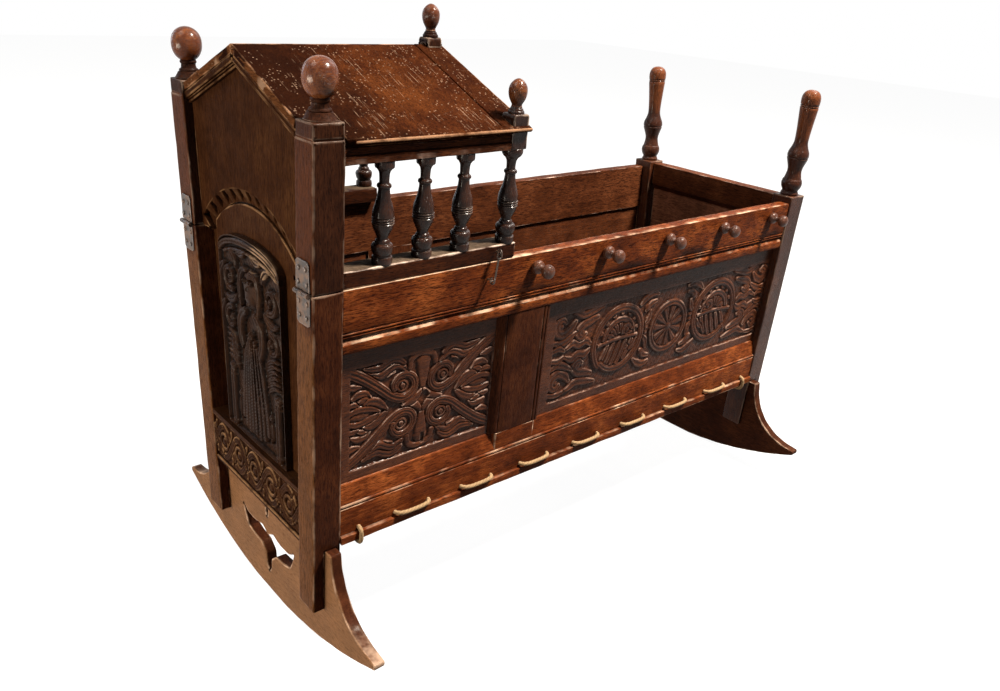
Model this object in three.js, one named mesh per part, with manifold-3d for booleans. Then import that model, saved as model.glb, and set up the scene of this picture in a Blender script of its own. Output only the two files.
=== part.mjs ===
// A hooded rocking cradle of joined oak. Millimetres, +Z up, the head end towards -X,
// the side with the hook towards -Y. The hood tips back on two hinges at the head end.
import * as THREE from 'three';
import { mergeVertices } from 'three/addons/utils/BufferGeometryUtils.js';
import Module from 'manifold-3d';

const wasm = await Module();
wasm.setup();

// Room that all pieces share.
const GAP = 0.3; // between two pieces that touch
const OVERRUN = 6; // how far a cutter runs past what it cuts

// The whole cradle.
const LENGTH = 950; // head posts' outer face to foot posts' outer face
const SPLIT = 508; // height of the side rails' tops, where the hood parts from the cradle
const HALF_WIDTH = 177; // middle to the posts' outer faces, at that height
const LEAN = THREE.MathUtils.degToRad(2.4); // how far each side leans out

// Posts.
const POST = 38;
const POST_FOOT = 72; // height of the posts' lower ends
const TINE = 16; // post wood left outside the rocker
const HOOD_POST_TOP = 691;
const FOOT_POST_TOP = 519;
const CAP_GROOVE = 0.8; // step below the hood post's cap
const CAP = 18; // height of that cap

// Rockers.
const ROCKER_THICK = 16;
const ROCKER_TOP = 163;
const ROCKER_ARC = 665; // radius of the rolling edge
const ROCKER_REACH = 276; // middle to a horn's tip
const HORN_NOSE = 7.3; // thickness of a horn's tip
const ROCKER_FLAT = 42; // half width of the flat that the cradle rests on
const HORN_SHOULDER = 175; // middle to the horn's upright start
const PIERCE_WIDE = 77; // half width of the piercing
const PIERCE_TALL = 72;
const PIERCE_LOW = 32; // height of the piercing's lowest point
const SLIT_WIDE = 8;
const SLIT_TALL = 15;
const SLIT_LOW = 123;

// Side frames. A set is the distance that a face lies inside the post's face.
const RAIL_SET = 2;
const TOP_RAIL_LOW = 428;
const TOP_RAIL_THICK = 19;
const TOP_FACE_DROP = 55; // plain face above the top rail's mouldings
const QUIRK = 1.5; // depth and half width of a scratched groove
const BEAD = 3;
const OVOLO_SET = 8; // how far the rounded edge falls back
const LOW_RAIL_LOW = 165;
const LOW_RAIL_HIGH = 256;
const LOW_RAIL_THICK = 26;
const STRIP_OUT = 2.5; // how far the bottom strip stands outside the post's face
const STRIP_HIGH = 176;
const BEVEL_LOW = 228; // lower edge of the bottom rail's bevel
const PANEL_SET = 12;
const PANEL_THICK = 8;
const MUNTIN_SET = 3.5;
const MUNTIN_THICK = 17;
const MUNTIN_FROM = 276; // from the head posts' outer face
const MUNTIN_TO = 366;
const MUNTIN_BEVEL = 12; // width of the bevel on the muntin's head edge
const CARVE_DEEP = 4.2; // side panels' ground below their face
const CARVE_ROOT = 0.5; // how far a raised form runs into its ground
const FIELD_LOW = 261; // carved fields, which the ground lies in
const FIELD_HIGH = 401;
const HEAD_FIELD_FROM = 57;
const HEAD_FIELD_TO = 273;
const FOOT_FIELD_FROM = 390;
const FOOT_FIELD_TO = 906;

// Knobs along each top rail, for lacing the covers down.
const KNOB_COUNT = 5;
const KNOB_FIRST = 325; // first knob to the head posts' outer face
const KNOB_LAST = 89.4; // last knob to the foot posts' outer face
const KNOB_HIGH = 490.5;
const KNOB_LONG = 32;
const KNOB_RADIUS = 9.5;

// Foot end.
const FOOT_END_SET = 6; // end rails' face inside the posts' foot face
const FOOT_END_THICK = 22;
const FOOT_TOP_LOW = 475;
const FOOT_TOP_HIGH = 516;
const FOOT_PANEL_SET = 12;

// Head end, measured inwards from the head posts' outer face.
const CHAIN_SET = 1; // the carved lower rail
const CHAIN_THICK = 33;
const CHAIN_HIGH = 242;
const ARCH_BOARD_SET = 17;
const ARCH_BOARD_THICK = 10;
const ARCH_BOARD_WIDE = 108.5; // half width
const BACK_BOARD_THICK = 8;
const RELIEF_SET = 5;
const RELIEF_DEEP = 7.7; // ground of the relief below its highest forms
const RELIEF_BAND = 10; // width of its arched band
const RELIEF_WIDE = 84; // half width
const RELIEF_SHOULDER = 496;
const RELIEF_TOP = 523;

// Hood.
const GABLE_SET = 12;
const GABLE_THICK = 12;
const ARCH_CENTRE = 400; // height of the gable arch's centre
const ARCH_RADIUS = 165;
const ARCH_WIDE = 110; // half width of the opening's upright sides
const SPLAY_DEEP = 8; // depth of the arch's splayed edge
const SPLAY_WIDE = 17;
const RAKE_OUT = 9; // raking strips' stand above the gable
const RAKE_TALL = 15;
const RIDGE = 748.5; // height of the roof's ridge
const PITCH = Math.tan(THREE.MathUtils.degToRad(22.3)); // fall per length across
const ROOF_THICK = 10;
const ROOF_FROM = 2; // roof's head edge, from the head posts' outer face
const ROOF_TO = 288;
const ROOF_WIDE = 189.5; // middle to the lip
const LIP = 5;
const LIP_BACK = 5.5; // depth of the thin lip
const LIP_FROM = 48;
const FASCIA_LOW = 645.6;
const FASCIA_SET = 1.5;
const FASCIA_THICK = 18;
const BED_RAIL_SET = 0.5; // the hood's lower side rail
const BED_RAIL_THICK = 34;
const BED_RAIL_HIGH = 528.7;
const BED_RAIL_TO = 286;
const BED_RAIL_CUT = 8; // cut corner at the rail's foot end
const BALUSTER_SET = 13.2; // balusters' axis inside the post's face
const BALUSTER_AT = [94, 148.5, 204.5]; // balusters' axes from the head posts' outer face
const BALUSTER_RADIUS = 12.6;
const CORNER_AT = 275.5; // corner posts' axis
const CORNER_BLOCK = 24;
const CORNER_TOP = 687;
const ARCH_RAIL_SET = 4; // front arch inside the corner blocks' foot face
const ARCH_RAIL_THICK = 12;
const ARCH_RAIL_LOW = 645.6;
const ARCH_RAIL_RISE = 40;
const RIDGE_BLOCK = 22;
const RIDGE_BLOCK_TOP = 757;
const RIDGE_ACORN_AT = 272;

// Turned tops.
const BALL_LONG = 62; // post top to the ball's top
const BALL_RADIUS = 18.5;
const HANDLE_LONG = 176;
const HANDLE_RADIUS = 17.6;
const ACORN_LONG = 40;
const ACORN_RADIUS = 11.3;

// Hinges.
const HINGE_WIDE = 30;
const HINGE_TALL = 34;
const LEAF_THICK = 1.6;
const KNUCKLE_RADIUS = 3;
const PIN_RADIUS = 1.3;
const PIN_ROOM = 0.08; // around the pin
const KNUCKLE_SHARE = 0.36; // of the hinge's width, for the middle knuckle

// Hook and its two eyes.
const WIRE = 1.3; // wire radius
const EYE_RADIUS = 3.6;
const SHANK = 3; // shank between the wood and the ring
const HOOK_AT = 253.5;
const HOOK_HIGH = 522;
const CATCH_AT = 244.5;
const CATCH_HIGH = 486.5;
const TIP_LONG = 3.2; // tip past the catch eye's ring
const CATCH_MOUTH = 3.6; // width of the catch's open top

// Rope that is laced through both bottom rails and makes the bed.
const ROPE_RADIUS = 3;
const ROPE_HIGH = 182;
const ROPE_SAG = 3.5; // dip of an outside stretch
const ROPE_BEND = 8;
const ROPE_HOLES = 16;
const ROPE_FIRST = 65; // first hole to the head posts' outer face
const ROPE_LAST = 67.5; // last hole to the foot posts' outer face
const ROPE_ROOM = 0.9; // around the rope in its holes
const KNOT_RADIUS = 6;
const KNOT_DROP = 12; // knot's centre below the strip

// Facets.
const TURN_SIDES = 10;
const BALL_SIDES = 14;
const ROPE_SIDES = 8;
const HOLE_SIDES = 10;
const WIRE_SIDES = 8;
const RING_STEPS = 14;
const ARC_STEPS = 12;
const BOSS_SIDES = 8;
const HOOP_STEPS = 16;

// Middle of the whole length, hinge knuckles included, where the frame's origin lies.
const HINGE_AXIS = KNUCKLE_RADIUS + GAP; // hinge axis ahead of the head posts' face
const MIDDLE = (LENGTH - HINGE_AXIS - KNUCKLE_RADIUS) / 2;

const oak = (color, roughness) => new THREE.MeshStandardMaterial({ color, roughness, metalness: 0 });
const iron = () => new THREE.MeshStandardMaterial({ color: 0x2b2623, roughness: 0.5, metalness: 0.8 });
const DARK = 0x3a1a10;
const RED = 0x55240f;
const WORN = 0x6b3a1c;
const SHEEN = 0.42;
const DULL = 0.6;
const HEMP = 0xc8a064;

const X_AXIS = new THREE.Vector3(1, 0, 0);
const Y_AXIS = new THREE.Vector3(0, 1, 0);
const Z_AXIS = new THREE.Vector3(0, 0, 1);
const ALONG_X = new THREE.Matrix4().makeBasis(Y_AXIS, Z_AXIS, X_AXIS);
const ALONG_Y = new THREE.Matrix4().makeBasis(X_AXIS, Z_AXIS, Y_AXIS.clone().negate());

// The assembly and its two leaning side frames. A side's own y runs out or in, z up from SPLIT.
const cradle = new THREE.Group();
const body = new THREE.Group();
body.position.x = -MIDDLE;
cradle.add(body);

function sideGroup(name, inward) {
  const group = new THREE.Group();
  group.position.set(0, -inward * HALF_WIDTH, SPLIT);
  group.rotation.x = inward * LEAN;
  group.updateMatrix();
  body.add(group);
  return { name, inward, group };
}

const near = sideGroup('near', 1);
const far = sideGroup('far', -1);
const sides = [near, far];

function add(group, name, geometry, material) {
  const mesh = new THREE.Mesh(geometry, material);
  mesh.name = name;
  group.add(mesh);
  return mesh;
}

// A point of a side piece: depth inside the post's face, and true height above the floor.
const sidePoint = (side, depth, high) => [
  side.inward * depth,
  (high - SPLIT - depth * Math.sin(LEAN)) / Math.cos(LEAN),
];
// The same for a piece whose end is square to the leaning frame.
const squarePoint = (side, depth, high) => [side.inward * depth, (high - SPLIT) / Math.cos(LEAN)];
// Distance from the middle plane to a depth inside the post's face, at a height.
const across = (depth, high) =>
  HALF_WIDTH - depth / Math.cos(LEAN) + (high - SPLIT) * Math.tan(LEAN);
// Height of the roof's top and underside at a distance from the middle.
const roofTop = (out) => RIDGE - out * PITCH;
const roofUnder = (out) => roofTop(out) - ROOF_THICK;

function outline(points) {
  return new THREE.Shape(points.map(([u, v]) => new THREE.Vector2(u, v)));
}

// A prism along X from points [y, z].
function alongX(points, from, to, holes = []) {
  const shape = outline(points);
  shape.holes = holes.map(outline);
  const geometry = new THREE.ExtrudeGeometry(shape, { depth: to - from, bevelEnabled: false });
  return geometry.applyMatrix4(ALONG_X).translate(from, 0, 0);
}

// A prism along Y from points [x, z].
function alongY(points, from, to, holes = []) {
  const shape = outline(points);
  shape.holes = holes.map(outline);
  const geometry = new THREE.ExtrudeGeometry(shape, { depth: to - from, bevelEnabled: false });
  return geometry.applyMatrix4(ALONG_Y).translate(0, to, 0);
}

// A turned piece on the Z axis. Each share is [height, radius] of the two sizes given.
function turned(shares, long, radius, steps = TURN_SIDES) {
  const points = shares.map(([high, wide]) => new THREE.Vector2(wide * radius, high * long));
  return new THREE.LatheGeometry(points, steps).rotateX(Math.PI / 2);
}

// Joins and cuts of closed meshes.
function solid(geometry) {
  const bare = geometry.clone();
  bare.deleteAttribute('normal');
  bare.deleteAttribute('uv');
  const merged = mergeVertices(bare);
  return new wasm.Manifold(
    new wasm.Mesh({
      numProp: 3,
      vertProperties: new Float32Array(merged.attributes.position.array),
      triVerts: new Uint32Array(merged.index.array),
    }),
  );
}

function surface(manifold) {
  const mesh = manifold.getMesh();
  const geometry = new THREE.BufferGeometry();
  geometry.setAttribute('position', new THREE.BufferAttribute(mesh.vertProperties, mesh.numProp));
  geometry.setIndex(new THREE.BufferAttribute(mesh.triVerts, 1));
  geometry.computeVertexNormals();
  return geometry;
}

const join = (first, ...others) =>
  surface(others.reduce((whole, other) => whole.add(solid(other)), solid(first)));
const cut = (first, ...others) =>
  surface(others.reduce((whole, other) => whole.subtract(solid(other)), solid(first)));
const moved = (geometry, x, y, z) => geometry.clone().translate(x, y, z);
const inBody = (geometry, side) => geometry.clone().applyMatrix4(side.group.matrix);

// A straight piece of a side frame: points [depth, height], along X.
function sideBar(side, points, from, to) {
  return alongX(points.map(([depth, high]) => sidePoint(side, depth, high)), from, to);
}

const sideBox = (side, set, thick, low, high, from, to) =>
  sideBar(side, [[set, low], [set + thick, low], [set + thick, high], [set, high]], from, to);

// Points of an arc in a plane, first to last.
function arc(centreU, centreV, radius, start, end, steps = ARC_STEPS) {
  return Array.from({ length: steps + 1 }, (_, i) => {
    const angle = start + ((end - start) * i) / steps;
    return [centreU + radius * Math.cos(angle), centreV + radius * Math.sin(angle)];
  });
}

const mirrored = (points) => points.map(([u, v]) => [-u, v]).reverse();
const shifted = (points, u, v) => points.map(([a, b]) => [a + u, b + v]);

// Carved forms, each an outline with its holes. In their tables places are shares of a half
// length and a height, and radii and half widths are shares of one size.
function strip(points, half) {
  const edges = points.map(([u, v], i) => {
    const [backU, backV] = points[Math.max(i - 1, 0)];
    const [nextU, nextV] = points[Math.min(i + 1, points.length - 1)];
    const wide = half / Math.hypot(nextU - backU, nextV - backV);
    const outU = (backV - nextV) * wide;
    const outV = (nextU - backU) * wide;
    return [[u + outU, v + outV], [u - outU, v - outV]];
  });
  return [[...edges.map(([left]) => left), ...edges.map(([, right]) => right).reverse()], []];
}

// Each share row is a half width and the places along a strip.
const strips = (shares, long, tall, size) => shares.map(([half, ...places]) =>
  strip(places.map(([u, v]) => [u * long, v * tall]), half * size));

// Each share row is a place, a half width and a half height.
const oval = (u, v, wide, tall) =>
  arc(0, 0, 1, 0, 2 * Math.PI, BOSS_SIDES).slice(1).map(([a, b]) => [u + a * wide, v + b * tall]);
const bosses = (shares, long, tall, size) => shares.map(([u, v, wide, high]) =>
  [oval(u * long, v * tall, wide * size, high * size), []]);

// Each share row is a place, a radius and a half width.
const hoops = (shares, long, tall, size) => shares.map(([u, v, radius, half]) => {
  const edge = (wide) =>
    arc(u * long, v * tall, wide * size, 0, 2 * Math.PI, HOOP_STEPS).slice(1);
  return [edge(radius + half), [edge(radius - half)]];
});

// Both rockers share one outline, with a flat facet in the middle of the rolling edge.
const arcDrop = (out) => Math.sqrt(ROCKER_ARC ** 2 - out ** 2);
const rise = (out) => arcDrop(ROCKER_FLAT) - arcDrop(out);
const hornTip = rise(ROCKER_REACH) + HORN_NOSE;
function rollingEdge() {
  const edge = [[ROCKER_FLAT, 0]];
  const stepCount = 6;
  for (let i = 1; i <= stepCount; i += 1) {
    const out = ROCKER_FLAT + ((ROCKER_REACH - ROCKER_FLAT) * i) / stepCount;
    edge.push([out, rise(out)]);
  }
  return edge;
}

// Each share is [way out from the shoulder to the tip, way up from the tip to the top].
const HORN_SHARES = [
  [1, 0], [0.76, 0.03], [0.5, 0.12], [0.28, 0.28], [0.12, 0.5], [0.03, 0.76], [0, 1],
];
const horn = HORN_SHARES.map(([out, up]) => [
  HORN_SHOULDER + (ROCKER_REACH - HORN_SHOULDER) * out,
  hornTip + (ROCKER_TOP - hornTip) * up,
]);
const rockerHalf = [...rollingEdge(), ...horn];
const rockerOutline = [...rockerHalf, ...mirrored(rockerHalf)];

// Each share is [half width, height] of the piercing.
const PIERCE_SHARES = [
  [0, 0], [0.05, 0.12], [0.08, 0.34], [0.28, 0.53], [0.6, 0.55], [0.8, 0.62], [0.92, 0.79],
  [1, 1], [0.8, 0.9], [0.56, 0.87], [0.34, 0.93], [0.15, 0.86],
];
const pierceHalf = PIERCE_SHARES.map(([wide, tall]) => [
  PIERCE_WIDE * wide,
  PIERCE_LOW + PIERCE_TALL * tall,
]);
const piercing = [...pierceHalf, ...mirrored(pierceHalf.slice(1))];
const slit = [
  [0, SLIT_LOW],
  [SLIT_WIDE / 2, SLIT_LOW + SLIT_TALL],
  [-SLIT_WIDE / 2, SLIT_LOW + SLIT_TALL],
];
const rockerFrom = TINE + GAP;
add(body, 'rocker_head',
  alongX(rockerOutline, rockerFrom, rockerFrom + ROCKER_THICK, [piercing, slit]), oak(RED, DULL));
add(body, 'rocker_foot',
  alongX(rockerOutline, LENGTH - rockerFrom - ROCKER_THICK, LENGTH - rockerFrom), oak(DARK, DULL));

// Turned shares of [height, radius], from the wood that each stands on to its top.
const HANDLE_SHARES = [
  [-0.01, 0], [-0.01, 0.82], [0.015, 0.86], [0.04, 0.76], [0.06, 0.84], [0.115, 0.99],
  [0.155, 0.9], [0.162, 0.83], [0.232, 0.68], [0.275, 0.73], [0.32, 0.87], [0.36, 1],
  [0.375, 0.96], [0.392, 1.01], [0.425, 0.95], [0.46, 0.8], [0.495, 0.68], [0.53, 0.64],
  [0.625, 0.68], [0.74, 0.77], [0.84, 0.87], [0.853, 0.83], [0.866, 0.88], [0.915, 0.89],
  [0.96, 0.78], [0.985, 0.52], [1, 0],
];
const BALL_SHARES = [
  [-0.02, 0], [-0.02, 0.93], [0.03, 0.93], [0.1, 0.78], [0.16, 0.62], [0.19, 0.62],
  [0.27, 0.52], [0.34, 0.47], [0.385, 0.57], [0.43, 0.47], [0.5, 0.76], [0.59, 0.93],
  [0.7, 1], [0.82, 0.92], [0.9, 0.75], [0.96, 0.5], [1, 0],
];
const ACORN_SHARES = [
  [-0.02, 0], [-0.02, 0.86], [0.05, 0.88], [0.1, 0.79], [0.15, 0.7], [0.24, 0.55],
  [0.3, 0.62], [0.4, 0.81], [0.5, 0.93], [0.62, 1], [0.74, 0.97], [0.85, 0.8],
  [0.94, 0.5], [1, 0],
];
const BALUSTER_SHARES = [
  [0, 0], [0, 0.9], [0.04, 0.95], [0.07, 0.91], [0.085, 0.78], [0.12, 0.94], [0.168, 1],
  [0.2, 0.89], [0.212, 0.64], [0.228, 0.65], [0.265, 0.52], [0.315, 0.72], [0.36, 0.91],
  [0.405, 0.99], [0.465, 0.985], [0.515, 0.95], [0.56, 0.86], [0.635, 0.64], [0.735, 0.52],
  [0.768, 0.61], [0.793, 0.445], [0.85, 0.45], [0.9, 0.55], [0.927, 0.69], [0.945, 0.86],
  [1, 0.87], [1, 0],
];
const KNOB_SHARES = [
  [0, 0], [0, 0.72], [0.06, 0.92], [0.16, 1], [0.27, 0.9], [0.36, 0.6], [0.45, 0.4],
  [0.52, 0.5], [0.6, 0.8], [0.7, 0.98], [0.82, 1], [0.92, 0.78], [1, 0],
];

// Posts, each with its turned top in one piece.
function onPost(side, shares, long, radius, x, high, steps) {
  const [y, z] = sidePoint(side, POST / 2, high);
  return moved(turned(shares, long, radius, steps), x, y, z);
}

const slotHigh = ROCKER_TOP + GAP;
function slotCutter(side, from) {
  const low = POST_FOOT - OVERRUN;
  return sideBar(side, [
    [-OVERRUN, low], [POST + OVERRUN, low], [POST + OVERRUN, slotHigh], [-OVERRUN, slotHigh],
  ], from, from + ROCKER_THICK + 2 * GAP);
}

for (const side of sides) {
  const headPost = sideBox(side, 0, POST, POST_FOOT, SPLIT, 0, POST);
  add(side.group, `head_post_${side.name}`, cut(headPost, slotCutter(side, TINE)), oak(DARK, SHEEN));

  const footPost = sideBox(side, 0, POST, POST_FOOT, FOOT_POST_TOP, LENGTH - POST, LENGTH);
  const footSlot = slotCutter(side, LENGTH - TINE - ROCKER_THICK - 2 * GAP);
  const handle = onPost(
    side, HANDLE_SHARES, HANDLE_LONG, HANDLE_RADIUS, LENGTH - POST / 2, FOOT_POST_TOP);
  add(side.group, `foot_post_${side.name}`, join(cut(footPost, footSlot), handle), oak(DARK, SHEEN));

  const shaft = sideBox(side, 0, POST, SPLIT + GAP, HOOD_POST_TOP - CAP, 0, POST);
  const cap = sideBox(side, CAP_GROOVE, POST - 2 * CAP_GROOVE, HOOD_POST_TOP - CAP - OVERRUN,
    HOOD_POST_TOP, CAP_GROOVE, POST - CAP_GROOVE);
  const ball = onPost(
    side, BALL_SHARES, BALL_LONG, BALL_RADIUS, POST / 2, HOOD_POST_TOP, BALL_SIDES);
  add(side.group, `hood_post_${side.name}`, join(shaft, cap, ball), oak(DARK, SHEEN));
}

// Side frames: two rails, one muntin and two panels a side, with knobs on the top rail.
const knobPitch = (LENGTH - KNOB_FIRST - KNOB_LAST) / (KNOB_COUNT - 1);
const railFrom = POST + GAP;
const railTo = LENGTH - POST - GAP;
const topMould = SPLIT - TOP_FACE_DROP;
const topRailOutline = [
  [RAIL_SET, SPLIT],
  [RAIL_SET, topMould],
  [RAIL_SET + QUIRK, topMould - QUIRK],
  [RAIL_SET, topMould - 2 * QUIRK],
  [RAIL_SET, topMould - 2 * QUIRK - BEAD],
  [RAIL_SET + QUIRK, topMould - 3 * QUIRK - BEAD],
  [RAIL_SET, topMould - 4 * QUIRK - BEAD],
  [RAIL_SET + OVOLO_SET * 0.25, topMould - 6 * QUIRK - BEAD],
  [RAIL_SET + OVOLO_SET * 0.7, topMould - 8 * QUIRK - BEAD],
  [RAIL_SET + OVOLO_SET, topMould - 8 * QUIRK - 2 * BEAD],
  [RAIL_SET + OVOLO_SET, TOP_RAIL_LOW],
  [RAIL_SET + TOP_RAIL_THICK, TOP_RAIL_LOW],
  [RAIL_SET + TOP_RAIL_THICK, SPLIT],
];
const lowRailOutline = [
  [-STRIP_OUT, LOW_RAIL_LOW],
  [RAIL_SET + LOW_RAIL_THICK, LOW_RAIL_LOW],
  [RAIL_SET + LOW_RAIL_THICK, LOW_RAIL_HIGH],
  [PANEL_SET - RAIL_SET, LOW_RAIL_HIGH],
  [RAIL_SET + QUIRK, BEVEL_LOW],
  [RAIL_SET, BEVEL_LOW - QUIRK],
  [RAIL_SET, BEVEL_LOW - QUIRK - BEAD],
  [RAIL_SET + QUIRK, BEVEL_LOW - 2 * QUIRK - BEAD],
  [RAIL_SET, BEVEL_LOW - 3 * QUIRK - BEAD],
  [RAIL_SET, STRIP_HIGH],
  [-STRIP_OUT, STRIP_HIGH],
];
const panelLow = LOW_RAIL_HIGH + GAP;
const panelHigh = TOP_RAIL_LOW - GAP;
const ropePitch = (LENGTH - ROPE_FIRST - ROPE_LAST) / (ROPE_HOLES - 1);
const ropeAt = Array.from({ length: ROPE_HOLES }, (_, i) => ROPE_FIRST + ropePitch * i);
const holeRadius = ROPE_RADIUS + ROPE_ROOM;

// Main forms of the side panels' carving. The head panel's lie in each quarter: a ribbon that
// curls round an eye, a wave leaf and a petal.
const RIBBON_SHARES = [[0.072, [-0.97, 0.93], [-0.86, 0.81], [-0.7, 0.54], [-0.55, 0.3],
  [-0.42, 0.2], [-0.26, 0.17], [-0.17, 0.25], [-0.13, 0.43], [-0.17, 0.58], [-0.28, 0.65],
  [-0.39, 0.61], [-0.44, 0.49], [-0.42, 0.36]]];
const WAVE_SHARES = [
  [0.052, [-0.22, 0.79], [-0.33, 0.91], [-0.47, 0.86], [-0.6, 0.81], [-0.77, 0.93]],
  [0.05, [-0.53, 0.06], [-0.67, 0.22], [-0.81, 0.27], [-0.93, 0.44]],
];
const EYE_SHARES = [[-0.3, 0.4, 0.085, 0.085]];
const BUD_SHARES = [[-0.81, 0, 0.25, 0.11], [0.81, 0, 0.25, 0.11]];
const STEM_SHARES = [[0.085, [0, -0.9], [0, 0.9]]];
const fieldTall = (FIELD_HIGH - FIELD_LOW) / 2;
const headLong = (HEAD_FIELD_TO - HEAD_FIELD_FROM) / 2;
const headForms = [
  ...[[1, 1], [-1, 1], [-1, -1], [1, -1]].flatMap(([byU, byV]) => {
    const sizes = [headLong * byU, fieldTall * byV, fieldTall];
    return [...strips(RIBBON_SHARES, ...sizes), ...strips(WAVE_SHARES, ...sizes),
      ...bosses(EYE_SHARES, ...sizes)];
  }),
  ...bosses(BUD_SHARES, headLong, fieldTall, fieldTall),
  ...strips(STEM_SHARES, headLong, fieldTall, fieldTall),
];

// The foot panel has a spoked wheel in the middle, a roundel on either side of it with a bar
// and an eye, berries between them and scrolls at the ends.
const SPOKES = 6;
const SPOKE_SHARE = 0.03; // half width
const WHEEL_SHARES = [[0, 0, 0.59, 0.06], [-0.46, 0.06, 0.76, 0.07], [0.5, 0.06, 0.76, 0.07]];
const ROUNDEL_SHARES = [
  [0.035, [-0.64, 0], [-0.28, 0.05]],
  [0.035, [-0.46, -0.05], [-0.55, -0.36]],
  [0.035, [-0.37, -0.05], [-0.5, -0.5]],
  [0.045, [-0.61, 0.2], [-0.56, 0.45], [-0.46, 0.55], [-0.36, 0.48], [-0.34, 0.3]],
];
const BERRY_SHARES = [[0, 0, 0.1, 0.1], [-0.23, 0.6, 0.11, 0.13], [-0.23, -0.62, 0.11, 0.13],
  [0.24, 0.6, 0.11, 0.13], [0.24, -0.62, 0.11, 0.13], [-0.39, 0.22, 0.1, 0.1]];
const END_SHARES = [
  [0.06, [-0.69, 0.86], [-0.8, 0.7], [-0.85, 0.35], [-0.79, 0.2], [-0.72, 0.3], [-0.74, 0.5]],
  [0.06, [-0.7, -0.88], [-0.82, -0.7], [-0.85, -0.4], [-0.8, -0.24], [-0.72, -0.3],
    [-0.74, -0.52]],
  [0.055, [-0.98, 0.4], [-0.95, 0.76], [-0.86, 0.93]],
  [0.055, [-0.98, -0.44], [-0.95, -0.76], [-0.86, -0.93]],
];
const footLong = (FOOT_FIELD_TO - FOOT_FIELD_FROM) / 2;
const spokeShares = Array.from({ length: SPOKES }, (_, i) => {
  const [wheel] = WHEEL_SHARES;
  const angle = (i * Math.PI) / SPOKES;
  const u = wheel[2] * Math.cos(angle) * (fieldTall / footLong);
  const v = wheel[2] * Math.sin(angle);
  return [SPOKE_SHARE, [-u, -v], [u, v]];
});
const footForms = [
  ...hoops(WHEEL_SHARES, footLong, fieldTall, fieldTall),
  ...strips(spokeShares, footLong, fieldTall, fieldTall),
  ...bosses(BERRY_SHARES, footLong, fieldTall, fieldTall),
  ...[footLong, -footLong].flatMap((long) => [
    ...strips(ROUNDEL_SHARES, long, fieldTall, fieldTall),
    ...strips(END_SHARES, long, fieldTall, fieldTall),
  ]),
];

// A prism across a side's thickness, from points [x, depth], over the panels' height.
function inward(side, points) {
  const [, low] = sidePoint(side, PANEL_SET, panelLow - OVERRUN);
  const [, high] = sidePoint(side, PANEL_SET, panelHigh + OVERRUN);
  const shape = outline(points.map(([x, depth]) => [x, side.inward * depth]));
  return new THREE.ExtrudeGeometry(shape, { depth: high - low, bevelEnabled: false })
    .translate(0, 0, low);
}

// A panel whose field is lowered round its raised forms.
function carvedPanel(side, from, to, fieldFrom, fieldTo, forms) {
  const board = sideBox(side, PANEL_SET, PANEL_THICK, panelLow, panelHigh, from, to);
  const middle = (fieldFrom + fieldTo) / 2;
  const [, centre] = sidePoint(side, PANEL_SET, (FIELD_LOW + FIELD_HIGH) / 2);
  const layer = (points, outer, inner, holes = []) => {
    const depths = [side.inward * outer, side.inward * inner];
    return alongY(shifted(points, middle, centre), Math.min(...depths), Math.max(...depths),
      holes.map((hole) => shifted(hole, middle, centre)));
  };
  const long = (fieldTo - fieldFrom) / 2;
  const ground = PANEL_SET + CARVE_DEEP;
  const pocket = layer([
    [-long, -fieldTall], [long, -fieldTall], [long, fieldTall], [-long, fieldTall],
  ], PANEL_SET - OVERRUN, ground);
  const raised = forms.map(([points, holes]) =>
    layer(points, PANEL_SET, ground + CARVE_ROOT, holes));
  return join(cut(board, pocket), ...raised);
}

for (const side of sides) {
  add(side.group, `top_rail_${side.name}`,
    sideBar(side, topRailOutline, railFrom, railTo), oak(RED, SHEEN));

  const [, holeZ] = sidePoint(side, RAIL_SET, ROPE_HIGH);
  const drill = new THREE.CylinderGeometry(
    holeRadius, holeRadius, 2 * (LOW_RAIL_THICK + OVERRUN), HOLE_SIDES,
  ).rotateX(-side.inward * LEAN);
  const drills = ropeAt.map((x) => moved(drill, x, 0, holeZ));
  add(side.group, `low_rail_${side.name}`,
    cut(sideBar(side, lowRailOutline, railFrom, railTo), ...drills), oak(RED, SHEEN));

  const muntinBody = sideBox(
    side, MUNTIN_SET, MUNTIN_THICK, panelLow, panelHigh, MUNTIN_FROM, MUNTIN_TO);
  const bevel = inward(side, [
    [MUNTIN_FROM - OVERRUN, MUNTIN_SET - OVERRUN],
    [MUNTIN_FROM + MUNTIN_BEVEL, MUNTIN_SET - OVERRUN],
    [MUNTIN_FROM + MUNTIN_BEVEL, MUNTIN_SET],
    [MUNTIN_FROM, PANEL_SET],
    [MUNTIN_FROM - OVERRUN, PANEL_SET],
  ]);
  add(side.group, `muntin_${side.name}`, cut(muntinBody, bevel), oak(RED, SHEEN));
  add(side.group, `head_side_panel_${side.name}`, carvedPanel(
    side, railFrom, MUNTIN_FROM - GAP, HEAD_FIELD_FROM, HEAD_FIELD_TO, headForms), oak(DARK, DULL));
  add(side.group, `foot_side_panel_${side.name}`, carvedPanel(
    side, MUNTIN_TO + GAP, railTo, FOOT_FIELD_FROM, FOOT_FIELD_TO, footForms), oak(DARK, DULL));

  const knob = turned(KNOB_SHARES, KNOB_LONG, KNOB_RADIUS).rotateX(side.inward * Math.PI / 2);
  const [knobY, knobZ] = sidePoint(side, RAIL_SET - GAP, KNOB_HIGH);
  for (let i = 0; i < KNOB_COUNT; i += 1) {
    add(side.group, `knob_${side.name}_${i + 1}`,
      moved(knob, KNOB_FIRST + knobPitch * i, knobY, knobZ), oak(WORN, SHEEN));
  }
}

// A board between two posts, whose ends follow the posts' lean, along X.
function betweenPosts(low, high, from, to) {
  const end = (z) => across(POST, z) - GAP;
  return alongX([[-end(low), low], [end(low), low], [end(high), high], [-end(high), high]], from, to);
}

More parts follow.
